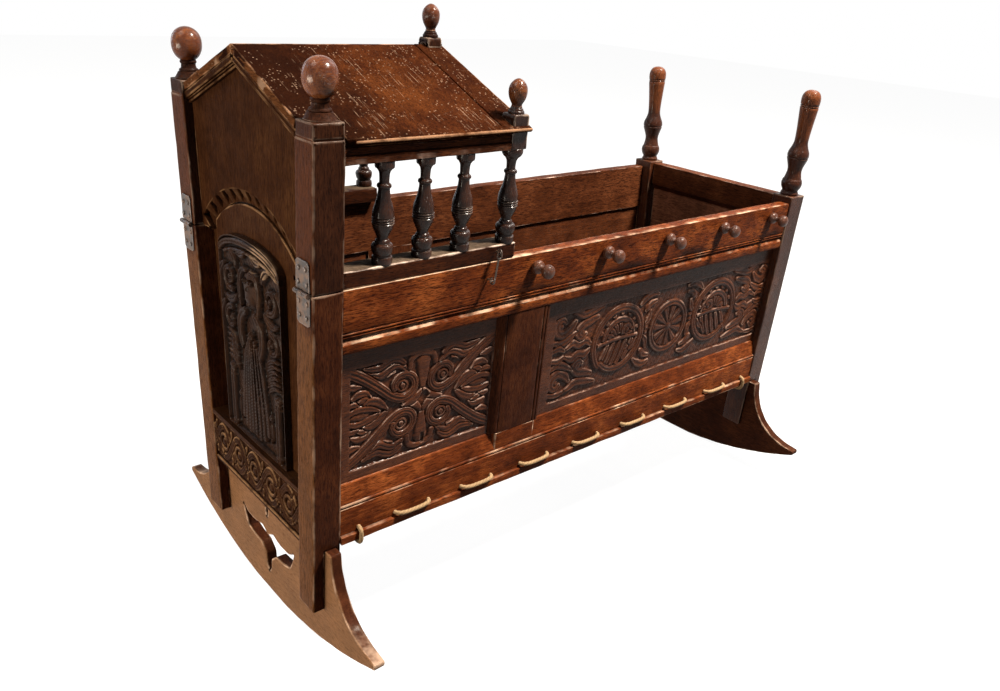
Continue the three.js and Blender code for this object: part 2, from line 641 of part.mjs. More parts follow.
// Foot end.
const footFace = LENGTH - FOOT_END_SET;
add(body, 'foot_top_rail',
  betweenPosts(FOOT_TOP_LOW, FOOT_TOP_HIGH, footFace - FOOT_END_THICK, footFace), oak(RED, SHEEN));
add(body, 'foot_low_rail',
  betweenPosts(LOW_RAIL_LOW, LOW_RAIL_HIGH, footFace - FOOT_END_THICK, footFace), oak(RED, SHEEN));
add(body, 'foot_panel', betweenPosts(
  LOW_RAIL_HIGH + GAP, FOOT_TOP_LOW - GAP,
  LENGTH - FOOT_PANEL_SET - PANEL_THICK, LENGTH - FOOT_PANEL_SET), oak(DARK, DULL));

// Head end: the chain-carved rail, the arched board on its back board, and the relief on that.
add(body, 'chain_rail', betweenPosts(
  ROCKER_TOP + GAP, CHAIN_HIGH, CHAIN_SET, CHAIN_SET + CHAIN_THICK), oak(WORN, DULL));
const boardRadius = ARCH_RADIUS - (ARCH_WIDE - ARCH_BOARD_WIDE);
const boardSpring = Math.asin(
  Math.sqrt(boardRadius ** 2 - ARCH_BOARD_WIDE ** 2) / boardRadius);
const headLow = CHAIN_HIGH + GAP;
const archBoard = alongX([
  [-ARCH_BOARD_WIDE, headLow],
  [ARCH_BOARD_WIDE, headLow],
  ...arc(0, ARCH_CENTRE, boardRadius, boardSpring, Math.PI - boardSpring),
], ARCH_BOARD_SET, ARCH_BOARD_SET + ARCH_BOARD_THICK);
const backFrom = ARCH_BOARD_SET + ARCH_BOARD_THICK - QUIRK;
const backBoard = betweenPosts(headLow, SPLIT, backFrom, backFrom + BACK_BOARD_THICK);
add(body, 'head_panel', join(archBoard, backBoard), oak(DARK, DULL));

// Each share is [half width, way up from the shoulder to the top].
const RELIEF_SHARES = [[1, 0], [0.93, 0.45], [0.8, 0.68], [0.5, 0.9], [0.2, 0.99]];
const reliefTop = RELIEF_SHARES.map(([wide, up]) => [
  RELIEF_WIDE * wide,
  RELIEF_SHOULDER + (RELIEF_TOP - RELIEF_SHOULDER) * up,
]);
const reliefGround = RELIEF_SET + RELIEF_DEEP;
const reliefBoard = alongX([
  [-RELIEF_WIDE, headLow],
  [RELIEF_WIDE, headLow],
  ...reliefTop,
  ...mirrored(reliefTop),
], reliefGround, ARCH_BOARD_SET - GAP);
// Its main forms, each layer with the share of the depth that it lies below the highest: an
// arched band, a draped figure, two pairs of scrolls, leaf ribs and two low pilasters.
const HAIR_SHARES = [[0, 0.775, 0.286, 0.32]];
const FACE_SHARES = [[0, 0.748, 0.175, 0.22]];
const TORSO_SHARES = [[-0.19, 0.683], [-0.405, 0.605], [-0.39, 0.52], [-0.2, 0.455],
  [-0.44, 0.07], [0.44, 0.07], [0.2, 0.455], [0.39, 0.52], [0.405, 0.605], [0.19, 0.683]];
const SCROLL_SHARES = [[0.67, 0.783, 0.18, 0.06], [0.68, 0.58, 0.17, 0.06]];
const LEAF_SHARES = [[0.036, [0.52, 0.35], [0.93, 0.384]], [0.036, [0.52, 0.393], [0.93, 0.427]],
  [0.036, [0.52, 0.436], [0.93, 0.47]], [0.036, [0.52, 0.479], [0.93, 0.513]]];
const PILASTER_SHARES = [[0.088, [0.76, 0.01], [0.76, 0.3]], [0.125, [0.76, 0.27], [0.76, 0.33]],
  [0.125, [0.76, 0.01], [0.76, 0.05]]];
const reliefTall = RELIEF_TOP - headLow;
const reliefSizes = [RELIEF_WIDE, reliefTall, RELIEF_WIDE];
const bandOuter = [...reliefTop, ...mirrored(reliefTop)];
const bandInner = bandOuter.map(([u, v]) =>
  [u * (1 - RELIEF_BAND / RELIEF_WIDE), v - RELIEF_BAND]).reverse();
// Each share row is a depth share and its forms.
const reliefShares = [
  [0.13, [[[...bandOuter, ...bandInner], []]]],
  [0.2, bosses(HAIR_SHARES, ...reliefSizes)],
  [0, bosses(FACE_SHARES, ...reliefSizes)],
  [0.1, [[TORSO_SHARES.map(([u, v]) => [u * RELIEF_WIDE, v * reliefTall]), []]]],
  ...[RELIEF_WIDE, -RELIEF_WIDE].flatMap((wide) => [
    [0.16, hoops(SCROLL_SHARES, wide, reliefTall, RELIEF_WIDE)],
    [0.21, strips(LEAF_SHARES, wide, reliefTall, RELIEF_WIDE)],
    [0.08, strips(PILASTER_SHARES, wide, reliefTall, RELIEF_WIDE)],
  ]),
];
const reliefForms = reliefShares.flatMap(([sunk, forms], i) => forms.map(([points, holes]) => {
  const low = i ? headLow : 0; // the band stands at its own height
  return alongX(shifted(points, 0, low), RELIEF_SET + sunk * RELIEF_DEEP,
    reliefGround + CARVE_ROOT, holes.map((hole) => shifted(hole, 0, low)));
}));
add(body, 'relief_board', join(reliefBoard, ...reliefForms), oak(WORN, DULL));

// Hood: gable board with its splayed arch and raking strips.
const gableLow = SPLIT + GAP;
const gableEnd = (z) => across(POST, z) - GAP;
const gableShoulder = roofUnder(gableEnd(HOOD_POST_TOP)) - GAP;
const gableOutline = [
  [-gableEnd(gableLow), gableLow],
  [gableEnd(gableLow), gableLow],
  [gableEnd(gableShoulder), gableShoulder],
  [0, roofUnder(0) - GAP],
  [-gableEnd(gableShoulder), gableShoulder],
];
const spring = Math.asin(Math.sqrt(ARCH_RADIUS ** 2 - ARCH_WIDE ** 2) / ARCH_RADIUS);
const springHigh = ARCH_CENTRE + ARCH_RADIUS * Math.sin(spring);
const archArc = arc(0, ARCH_CENTRE, ARCH_RADIUS, spring, Math.PI - spring);
const opening = alongX(
  [[-ARCH_WIDE, SPLIT - OVERRUN], [ARCH_WIDE, SPLIT - OVERRUN], ...archArc],
  GABLE_SET - OVERRUN, GABLE_SET + GABLE_THICK + OVERRUN);
// The splay is the arch's own outline, bevelled outwards by the extrusion.
const splayBody = new THREE.ExtrudeGeometry(outline(archArc), {
  depth: OVERRUN,
  bevelEnabled: true,
  bevelThickness: SPLAY_DEEP,
  bevelSize: SPLAY_WIDE,
  bevelSegments: 1,
}).applyMatrix4(ALONG_X).translate(GABLE_SET - OVERRUN, 0, 0);
const belowSpring = alongX([
  [-HALF_WIDTH, SPLIT - HALF_WIDTH], [HALF_WIDTH, SPLIT - HALF_WIDTH],
  [HALF_WIDTH, springHigh], [-HALF_WIDTH, springHigh],
], GABLE_SET - OVERRUN - SPLAY_WIDE, GABLE_SET + GABLE_THICK + OVERRUN);
const gableBoard = alongX(gableOutline, GABLE_SET, GABLE_SET + GABLE_THICK);
const rakes = [1, -1].map((hand) => {
  const rakeLow = gableShoulder - RAKE_TALL;
  const points = [
    [0, roofUnder(0) - GAP],
    [hand * gableEnd(gableShoulder), gableShoulder],
    [hand * gableEnd(rakeLow), rakeLow],
    [0, roofUnder(0) - GAP - RAKE_TALL],
  ];
  return alongX(points, GABLE_SET - RAKE_OUT, GABLE_SET + QUIRK);
});
add(body, 'gable_board',
  join(cut(gableBoard, opening, cut(splayBody, belowSpring)), ...rakes), oak(RED, DULL));

// Roof slopes, notched round the posts and the corner blocks.
const fasciaTo = CORNER_AT - CORNER_BLOCK / 2 - GAP;
for (const side of sides) {
  const hand = -side.inward;
  const slope = [
    [0, roofTop(0)],
    [ROOF_WIDE, roofTop(ROOF_WIDE)],
    [ROOF_WIDE, roofTop(ROOF_WIDE) - LIP],
    [ROOF_WIDE - LIP_BACK, roofUnder(ROOF_WIDE - LIP_BACK)],
    [0, roofUnder(0)],
  ].map(([out, high]) => [hand * (out + (out ? 0 : GAP / 2)), high]);
  const postNotch = inBody(sideBox(side, -GAP, POST + 2 * GAP, BED_RAIL_HIGH,
    HOOD_POST_TOP + OVERRUN, -OVERRUN, POST + GAP), side);
  const lipNotch = alongX([
    [hand * (ROOF_WIDE - LIP_BACK), BED_RAIL_HIGH],
    [hand * (ROOF_WIDE + OVERRUN), BED_RAIL_HIGH],
    [hand * (ROOF_WIDE + OVERRUN), RIDGE],
    [hand * (ROOF_WIDE - LIP_BACK), RIDGE],
  ], -OVERRUN, LIP_FROM);
  const blockNotch = inBody(sideBox(side, BALUSTER_SET - CORNER_BLOCK / 2 - GAP,
    CORNER_BLOCK + 2 * GAP, BED_RAIL_HIGH, CORNER_TOP + OVERRUN,
    fasciaTo, ROOF_TO + OVERRUN), side);
  add(body, `roof_${side.name}`,
    cut(alongX(slope, ROOF_FROM, ROOF_TO), postNotch, lipNotch, blockNotch), oak(RED, SHEEN));

  // Fascia under the lip, with its top cut to the roof's slope.
  const fasciaIn = FASCIA_SET + FASCIA_THICK;
  const fasciaTop = (depth) => roofUnder(across(depth, FASCIA_LOW + FASCIA_THICK)) - GAP;
  add(side.group, `fascia_${side.name}`, alongX([
    squarePoint(side, FASCIA_SET, FASCIA_LOW),
    squarePoint(side, fasciaIn, FASCIA_LOW),
    sidePoint(side, fasciaIn, fasciaTop(fasciaIn)),
    sidePoint(side, FASCIA_SET, fasciaTop(FASCIA_SET)),
  ], railFrom, fasciaTo), oak(RED, SHEEN));

  // Lower side rail of the hood, which lies on the cradle's top rail.
  const bedRailIn = BED_RAIL_SET + BED_RAIL_THICK;
  const bedRail = alongX([
    sidePoint(side, BED_RAIL_SET, SPLIT + GAP),
    sidePoint(side, bedRailIn, SPLIT + GAP),
    squarePoint(side, bedRailIn, BED_RAIL_HIGH),
    squarePoint(side, BED_RAIL_SET, BED_RAIL_HIGH),
  ], railFrom, BED_RAIL_TO);
  const deep = BED_RAIL_THICK + OVERRUN;
  const cornerCut = alongY([
    [BED_RAIL_TO - BED_RAIL_CUT, -OVERRUN],
    [BED_RAIL_TO + OVERRUN, -OVERRUN],
    [BED_RAIL_TO + OVERRUN, BED_RAIL_CUT + OVERRUN],
  ], -deep, deep);
  add(side.group, `bed_rail_${side.name}`, cut(bedRail, cornerCut), oak(RED, SHEEN));

  // Balusters between the lower rail and the fascia.
  const balusterLow = BED_RAIL_HIGH + GAP;
  const balusterLong = FASCIA_LOW - GAP - balusterLow;
  const [balusterY, balusterZ] = squarePoint(side, BALUSTER_SET, balusterLow);
  const baluster = turned(BALUSTER_SHARES, balusterLong, BALUSTER_RADIUS);
  BALUSTER_AT.forEach((x, i) => {
    add(side.group, `baluster_${side.name}_${i + 1}`,
      moved(baluster, x, balusterY, balusterZ), oak(DARK, SHEEN));
  });

  // Corner post: a baluster, a square block and an acorn in one piece.
  const half = CORNER_BLOCK / 2;
  const block = sideBox(side, BALUSTER_SET - half, CORNER_BLOCK, FASCIA_LOW - GAP - QUIRK,
    CORNER_TOP, CORNER_AT - half, CORNER_AT + half);
  const [acornY, acornZ] = sidePoint(side, BALUSTER_SET, CORNER_TOP);
  const acorn = moved(
    turned(ACORN_SHARES, ACORN_LONG, ACORN_RADIUS), CORNER_AT, acornY, acornZ);
  add(side.group, `corner_post_${side.name}`,
    join(moved(baluster, CORNER_AT, balusterY, balusterZ), block, acorn), oak(DARK, SHEEN));
}

// Front arch between the corner blocks, under the roof.
const archRailTo = CORNER_AT + CORNER_BLOCK / 2 - ARCH_RAIL_SET;
const archRailEnd = (z) => across(BALUSTER_SET + CORNER_BLOCK / 2, z) - GAP;
const archRailTop = roofUnder(archRailEnd(CORNER_TOP)) - GAP;
const archRailSoffit = arc(0, ARCH_RAIL_LOW, 1, 0, Math.PI).map(([u, v]) => [
  u * (archRailEnd(ARCH_RAIL_LOW) - FASCIA_THICK),
  ARCH_RAIL_LOW + (v - ARCH_RAIL_LOW) * ARCH_RAIL_RISE,
]);
add(body, 'front_arch', alongX([
  [archRailEnd(ARCH_RAIL_LOW), ARCH_RAIL_LOW],
  [archRailEnd(archRailTop), archRailTop],
  [0, roofUnder(0) - GAP],
  [-archRailEnd(archRailTop), archRailTop],
  [-archRailEnd(ARCH_RAIL_LOW), ARCH_RAIL_LOW],
  ...[...archRailSoffit].reverse(),
], archRailTo - ARCH_RAIL_THICK, archRailTo), oak(RED, DULL));

// Acorn on the ridge, whose block is cut to sit astride it.
const ridgeHalf = RIDGE_BLOCK / 2;
const ridgeBlock = alongX([
  [0, roofTop(0) + GAP],
  [ridgeHalf, roofTop(ridgeHalf) + GAP],
  [ridgeHalf, RIDGE_BLOCK_TOP],
  [-ridgeHalf, RIDGE_BLOCK_TOP],
  [-ridgeHalf, roofTop(ridgeHalf) + GAP],
], RIDGE_ACORN_AT - ridgeHalf, RIDGE_ACORN_AT + ridgeHalf);
const ridgeAcorn = moved(
  turned(ACORN_SHARES, ACORN_LONG, ACORN_RADIUS), RIDGE_ACORN_AT, 0, RIDGE_BLOCK_TOP);
add(body, 'ridge_acorn', join(ridgeBlock, ridgeAcorn), oak(DARK, SHEEN));

// Hinges: leaves on the head posts' faces, knuckles ahead of them on one axis.
const rodY = (radius, from, to, steps = TURN_SIDES) =>
  new THREE.CylinderGeometry(radius, radius, to - from, steps).translate(0, (from + to) / 2, 0);
const middleHalf = (HINGE_WIDE * KNUCKLE_SHARE) / 2;
const leafFace = -GAP - LEAF_THICK;

for (const side of sides) {
  const centre = -side.inward * across(POST / 2, SPLIT);
  const half = HINGE_WIDE / 2;
  const plate = (from, to, low, high) => alongX(
    [[centre + from, low], [centre + to, low], [centre + to, high], [centre + from, high]],
    leafFace, -GAP);
  const knuckle = (radius, from, to) =>
    moved(rodY(radius, centre + from, centre + to), -HINGE_AXIS, 0, SPLIT);
  const room = KNUCKLE_RADIUS + GAP;
  const upperPlate = plate(-half, half, SPLIT + room, SPLIT + room + HINGE_TALL);
  const upperWeb = plate(-middleHalf, middleHalf, SPLIT + PIN_RADIUS, SPLIT + room + QUIRK);
  add(body, `hinge_upper_${side.name}`, cut(
    join(upperPlate, upperWeb, knuckle(KNUCKLE_RADIUS, -middleHalf, middleHalf)),
    knuckle(PIN_RADIUS + PIN_ROOM, -half, half)), iron());

  const lowerPlate = plate(-half, half, SPLIT - room - HINGE_TALL, SPLIT - room);
  const ends = [[-half, -middleHalf - GAP], [middleHalf + GAP, half]];
  const lowerWebs = ends.map(([from, to]) =>
    plate(from, to, SPLIT - room - QUIRK, SPLIT - PIN_RADIUS));
  const lowerKnuckles = ends.map(([from, to]) => knuckle(KNUCKLE_RADIUS, from, to));
  add(body, `hinge_lower_${side.name}`, join(
    lowerPlate, ...lowerWebs, ...lowerKnuckles, knuckle(PIN_RADIUS, -half, half)), iron());
}

// Hook on the near side. Rings are closed wire; each eye has a shank back to the wood.
function ring(radius, normal) {
  const loop = new THREE.TorusGeometry(radius, WIRE, WIRE_SIDES, RING_STEPS);
  const turn = new THREE.Quaternion().setFromUnitVectors(Z_AXIS, normal);
  return loop.applyQuaternion(turn);
}

function rod(from, to, radius = WIRE) {
  const way = new THREE.Vector3().subVectors(to, from);
  const piece = new THREE.CylinderGeometry(radius, radius, way.length(), WIRE_SIDES);
  const turn = new THREE.Quaternion().setFromUnitVectors(Y_AXIS, way.clone().normalize());
  piece.applyQuaternion(turn);
  const centre = new THREE.Vector3().addVectors(from, to).multiplyScalar(1 / 2);
  return moved(piece, centre.x, centre.y, centre.z);
}

// The hook's loop hangs on the upper ring's lowest wire, which is the pivot. The catch is
// open at the top, so the hood lifts off it.
const bedFace = -across(BED_RAIL_SET, HOOK_HIGH);
const railFace = -across(RAIL_SET, CATCH_HIGH);
const ringY = bedFace - GAP - SHANK - EYE_RADIUS;
const upperRing = new THREE.Vector3(HOOK_AT, ringY, HOOK_HIGH);
const pivot = new THREE.Vector3(HOOK_AT, ringY, HOOK_HIGH - EYE_RADIUS);
const catchRing = new THREE.Vector3(CATCH_AT, ringY, CATCH_HIGH);
const downHook = new THREE.Vector3().subVectors(catchRing, pivot).normalize();
const acrossHook = new THREE.Vector3().crossVectors(Y_AXIS, downHook).normalize();
const hookLoop = pivot.clone().addScaledVector(downHook, EYE_RADIUS - 2 * WIRE - GAP);
const placed = (geometry, place) => moved(geometry, place.x, place.y, place.z);

add(body, 'hook_eye', join(
  placed(ring(EYE_RADIUS, X_AXIS), upperRing),
  rod(new THREE.Vector3(HOOK_AT, bedFace - GAP, HOOK_HIGH),
    new THREE.Vector3(HOOK_AT, ringY + EYE_RADIUS, HOOK_HIGH))), iron());

const mouth = new THREE.BoxGeometry(CATCH_MOUTH, 2 * EYE_RADIUS, 2 * EYE_RADIUS);
const upHook = new THREE.Matrix4().makeBasis(Y_AXIS, acrossHook, downHook.clone().negate());
const catchMouth = placed(
  mouth.translate(0, 0, EYE_RADIUS).applyMatrix4(upHook), catchRing);
add(body, 'catch_eye', join(
  cut(placed(ring(EYE_RADIUS, acrossHook), catchRing), catchMouth),
  rod(new THREE.Vector3(CATCH_AT, railFace - GAP, CATCH_HIGH),
    new THREE.Vector3(CATCH_AT, ringY + EYE_RADIUS, CATCH_HIGH))), iron());

// The hook's straight wire stands beside the catch and its tip passes through it.
const elbow = catchRing.clone().addScaledVector(acrossHook, -(2 * WIRE + GAP));
add(body, 'hook', join(
  placed(ring(EYE_RADIUS, Y_AXIS), hookLoop),
  rod(hookLoop.clone().addScaledVector(downHook, EYE_RADIUS), elbow),
  placed(new THREE.SphereGeometry(WIRE, WIRE_SIDES, WIRE_SIDES), elbow),
  rod(elbow, catchRing.clone().addScaledVector(acrossHook, TIP_LONG))), iron());

// Rope: across, along the outside, back across, all the way from one near end to the other.
class Route extends THREE.Curve {
  constructor(points) {
    super();
    this.points = points;
  }

  getPoint(t) {
    const place = t * (this.points.length - 1);
    const index = Math.min(Math.floor(place), this.points.length - 2);
    return this.points[index].clone().lerp(this.points[index + 1], place - index);
  }

  getPointAt(t) {
    return this.getPoint(t);
  }

  getSpacedPoints() {
    return this.points;
  }

  getTangentAt(t) {
    const last = this.points.length - 1;
    const index = Math.round(t * last);
    const here = this.points[index];
    const back = this.points[Math.max(index - 1, 0)];
    const next = this.points[Math.min(index + 1, last)];
    const inWay = here.clone().sub(back).normalize();
    const outWay = next.clone().sub(here).normalize();
    return inWay.add(outWay).normalize();
  }
}

function ropePoint(side, x, depth, high) {
  return new THREE.Vector3(x, -side.inward * across(depth, high), high);
}

const ropeOut = -STRIP_OUT - ROPE_RADIUS - GAP; // depth of an outside stretch
const bendDepth = ropeOut + ROPE_BEND; // where the bend leaves the hole
// From a hole to the outside stretch, turning towards x with the sign of way.
function bendOut(side, x, way) {
  const steps = [0, Math.PI / 4, Math.PI / 2];
  return steps.map((angle) => ropePoint(side, x + way * ROPE_BEND * (1 - Math.cos(angle)),
    bendDepth - ROPE_BEND * Math.sin(angle), ROPE_HIGH));
}

function outside(side, from, to) {
  const way = Math.sign(to - from);
  const dip = ROPE_HIGH - ROPE_SAG;
  return [
    ...bendOut(side, from, way),
    ropePoint(side, from + way * 2 * ROPE_BEND, ropeOut, dip),
    ropePoint(side, to - way * 2 * ROPE_BEND, ropeOut, dip),
    ...bendOut(side, to, -way).reverse(),
  ];
}

// An end comes out of its hole, down in front of the strip, and is knotted under it.
const knotHigh = LOW_RAIL_LOW - KNOT_DROP;
function ropeEnd(x) {
  return [
    ropePoint(near, x, bendDepth, ROPE_HIGH),
    ropePoint(near, x, ropeOut + ROPE_BEND * 0.3, ROPE_HIGH - ROPE_BEND * 0.1),
    ropePoint(near, x, ropeOut, ROPE_HIGH - ROPE_BEND * 0.6),
    ropePoint(near, x, ropeOut, LOW_RAIL_LOW),
    ropePoint(near, x, ropeOut + ROPE_BEND * 0.4, knotHigh + ROPE_RADIUS),
    ropePoint(near, x, ropeOut + ROPE_BEND * 1.4, knotHigh),
  ];
}

const ropeRoute = [...ropeEnd(ropeAt[ROPE_HOLES - 1])].reverse();
let here = near;
for (let i = ROPE_HOLES - 1; i > 0; i -= 1) {
  here = here === near ? far : near;
  ropeRoute.push(...outside(here, ropeAt[i], ropeAt[i - 1]));
}
ropeRoute.push(...ropeEnd(ropeAt[0]));
const ropeSection = outline(arc(0, 0, ROPE_RADIUS, 0, 2 * Math.PI, ROPE_SIDES).slice(1));
const rope = new THREE.ExtrudeGeometry(ropeSection, {
  steps: ropeRoute.length - 1,
  extrudePath: new Route(ropeRoute),
});
const knots = [ropeRoute[0], ropeRoute[ropeRoute.length - 1]].map((place) =>
  new THREE.SphereGeometry(KNOT_RADIUS, ROPE_SIDES, ROPE_SIDES).translate(
    place.x, place.y, place.z));
add(body, 'bed_rope', join(rope, ...knots), new THREE.MeshStandardMaterial({
  color: HEMP, roughness: DULL, metalness: 0,
}));

export default cradle;
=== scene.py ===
"""Looks of a hooded rocking cradle of joined oak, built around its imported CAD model.

Shapes are worked out in millimetres, with x from the head posts' outer face, y across with the
hook's side negative, and z up from the floor, and become metres in the row frame at the end.
"""

import math

import bpy
import numpy as np
from mathutils.geometry import tessellate_polygon
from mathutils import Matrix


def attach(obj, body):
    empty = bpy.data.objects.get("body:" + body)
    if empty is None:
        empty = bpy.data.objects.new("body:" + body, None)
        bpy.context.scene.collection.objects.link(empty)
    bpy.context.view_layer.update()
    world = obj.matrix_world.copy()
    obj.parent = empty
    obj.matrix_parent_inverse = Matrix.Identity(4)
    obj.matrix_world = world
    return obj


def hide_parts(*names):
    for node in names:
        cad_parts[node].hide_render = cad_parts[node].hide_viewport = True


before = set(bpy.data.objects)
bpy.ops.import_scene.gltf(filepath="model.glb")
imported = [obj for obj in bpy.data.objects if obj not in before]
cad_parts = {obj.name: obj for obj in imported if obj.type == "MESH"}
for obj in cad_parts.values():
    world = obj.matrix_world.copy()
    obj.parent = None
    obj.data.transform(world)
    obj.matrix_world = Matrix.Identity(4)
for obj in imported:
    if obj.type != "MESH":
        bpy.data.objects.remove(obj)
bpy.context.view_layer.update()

# Sizes that the CAD model has too, in millimetres.
LENGTH = 950
SPLIT = 508
HALF_WIDTH = 177
LEAN = math.radians(2.4)
POST = 38
POST_FOOT = 72
TINE = 16
HOOD_POST_TOP = 691
FOOT_POST_TOP = 519
ROCKER_THICK = 16
ROCKER_TOP = 163
ROCKER_ARC = 665
ROCKER_REACH = 276
ROCKER_FLAT = 42
HORN_SHOULDER = 175
HORN_NOSE = 7.3
RIDGE = 748.5
PITCH = math.tan(math.radians(22.3))
MIDDLE = 471.85
GAP = 0.3
MM = 0.001

# Camera that was fitted to the photograph: place and turn, and focal length per image width.
CAMERA_AT = (-417.39, -950.83, 834.67)
CAMERA_TURN = (1.1650, -0.0630, -0.6995)
CAMERA_LENS = 0.86068
SENSOR = 36.0


def place_camera():
    data = bpy.data.cameras.new("camera")
    data.sensor_width = SENSOR
    data.lens = CAMERA_LENS * SENSOR
    data.clip_start = 0.01
    camera = bpy.data.objects.new("camera", data)
    camera.location = ((CAMERA_AT[0] - MIDDLE) * MM, CAMERA_AT[1] * MM, CAMERA_AT[2] * MM)
    camera.rotation_euler = CAMERA_TURN
    bpy.context.scene.collection.objects.link(camera)
    bpy.context.scene.camera = camera


place_camera()


# Shapes as arrays.

def ripple(points, size, seed):
    """A smooth field in about -1 to 1: the mean of sine waves in scattered directions, of about
    the given size."""
    rng = np.random.default_rng(seed)
    way = rng.normal(size=(7, 3))
    way *= (2 * np.pi / size * rng.uniform(0.6, 1.7, 7) / np.linalg.norm(way, axis=1))[:, None]
    return np.sin(points @ way.T + rng.uniform(0, 2 * np.pi, 7)).mean(-1) * 1.7


class Shape:
    """Points in the working frame, quads and triangles, and per point its pale edge mark (wear and
    painted highlight), how sunk and how pale.
    """

    def __init__(self, points, quads, tris, worn=0.0, sunk=0.0, pale=0.0):
        self.points = np.asarray(points, float).reshape(-1, 3)
        count = len(self.points)
        self.quads = np.asarray(quads, int).reshape(-1, 4)
        self.tris = np.asarray(tris, int).reshape(-1, 3)
        self.worn = np.array(np.broadcast_to(worn, count), float)
        self.sunk = np.array(np.broadcast_to(sunk, count), float)
        self.pale = np.array(np.broadcast_to(pale, count), float)
        corners = self.points[np.concatenate([
            self.quads[:, [0, 1, 2]], self.quads[:, [0, 2, 3]], self.tris])]
        volume = np.einsum("ij,ij->", corners[:, 0], np.cross(corners[:, 1], corners[:, 2]))
        if volume < 0:
            self.quads = self.quads[:, ::-1]
            self.tris = self.tris[:, ::-1]


def grid_quads(rows, columns, closed=False):
    """Quads of a grid of points, its columns closed into a ring if asked."""
    index = np.arange(rows * columns).reshape(rows, columns)
    if closed:
        index = np.concatenate([index, index[:, :1]], 1)
    return np.stack([index[:-1, :-1], index[:-1, 1:], index[1:, 1:], index[1:, :-1]],
                    -1).reshape(-1, 4)


def soften(corners, radius, step, guard):
    """A closed outline with each corner made a short curve, a quadratic through the corner's
    sides, and points added along its sides. Gives points, normals out of the wood, and how sharp
    each corner is, from -1 hollow to 1 proud."""
    corners = np.asarray(corners, float)
    back = np.roll(corners, 1, 0) - corners
    ahead = np.roll(corners, -1, 0) - corners
    back_long = np.linalg.norm(back, axis=1)
    ahead_long = np.linalg.norm(ahead, axis=1)
    back /= back_long[:, None]
    ahead /= ahead_long[:, None]
    turn = np.arctan2(-back[:, 0] * ahead[:, 1] + back[:, 1] * ahead[:, 0],
                      -(back * ahead).sum(1))
    shorter = np.minimum(back_long, ahead_long)
    cut = np.where(np.abs(turn) > np.radians(28), np.minimum(radius, 0.42 * shorter),
                   0.3 * shorter)
    share = np.array([0, 0.33, 0.67, 1])[None, :, None]
    near = corners + back * cut[:, None]
    far = corners + ahead * cut[:, None]
    curve = ((1 - share) ** 2 * near[:, None] + 2 * share * (1 - share) * corners[:, None]
             + share ** 2 * far[:, None])
    room = np.minimum(guard, 0.15 * shorter)[:, None]
    points = np.concatenate([(near + back * room)[:, None], curve,
                             (far + ahead * room)[:, None]], 1)
    sharp = np.clip(turn / (np.pi / 2), -1, 1)[:, None] * np.array([0, 1, 1, 1, 1, 0])
    points = points.reshape(-1, 2)
    sharp = sharp.reshape(-1)
    span = np.roll(points, -1, 0) - points
    pieces = np.maximum(np.ceil(np.linalg.norm(span, axis=1) / step), 1).astype(int)
    start = np.repeat(np.arange(len(points)), pieces)
    order = np.arange(len(start)) - np.repeat(np.cumsum(pieces) - pieces, pieces)
    way = (order / pieces[start])[:, None]
    sharp = np.where(order == 0, sharp[start], 0.0)
    points = points[start] + span[start] * way
    tangent = np.roll(points, -1, 0) - np.roll(points, 1, 0)
    normal = np.stack([tangent[:, 1], -tangent[:, 0]], 1)
    normal /= np.maximum(np.linalg.norm(normal, axis=1), 1e-9)[:, None]
    return points, normal, sharp


def signed_area(corners):
    corners = np.asarray(corners, float)
    ahead = np.roll(corners, -1, 0)
    return 0.5 * (corners[:, 0] * ahead[:, 1] - corners[:, 1] * ahead[:, 0]).sum()


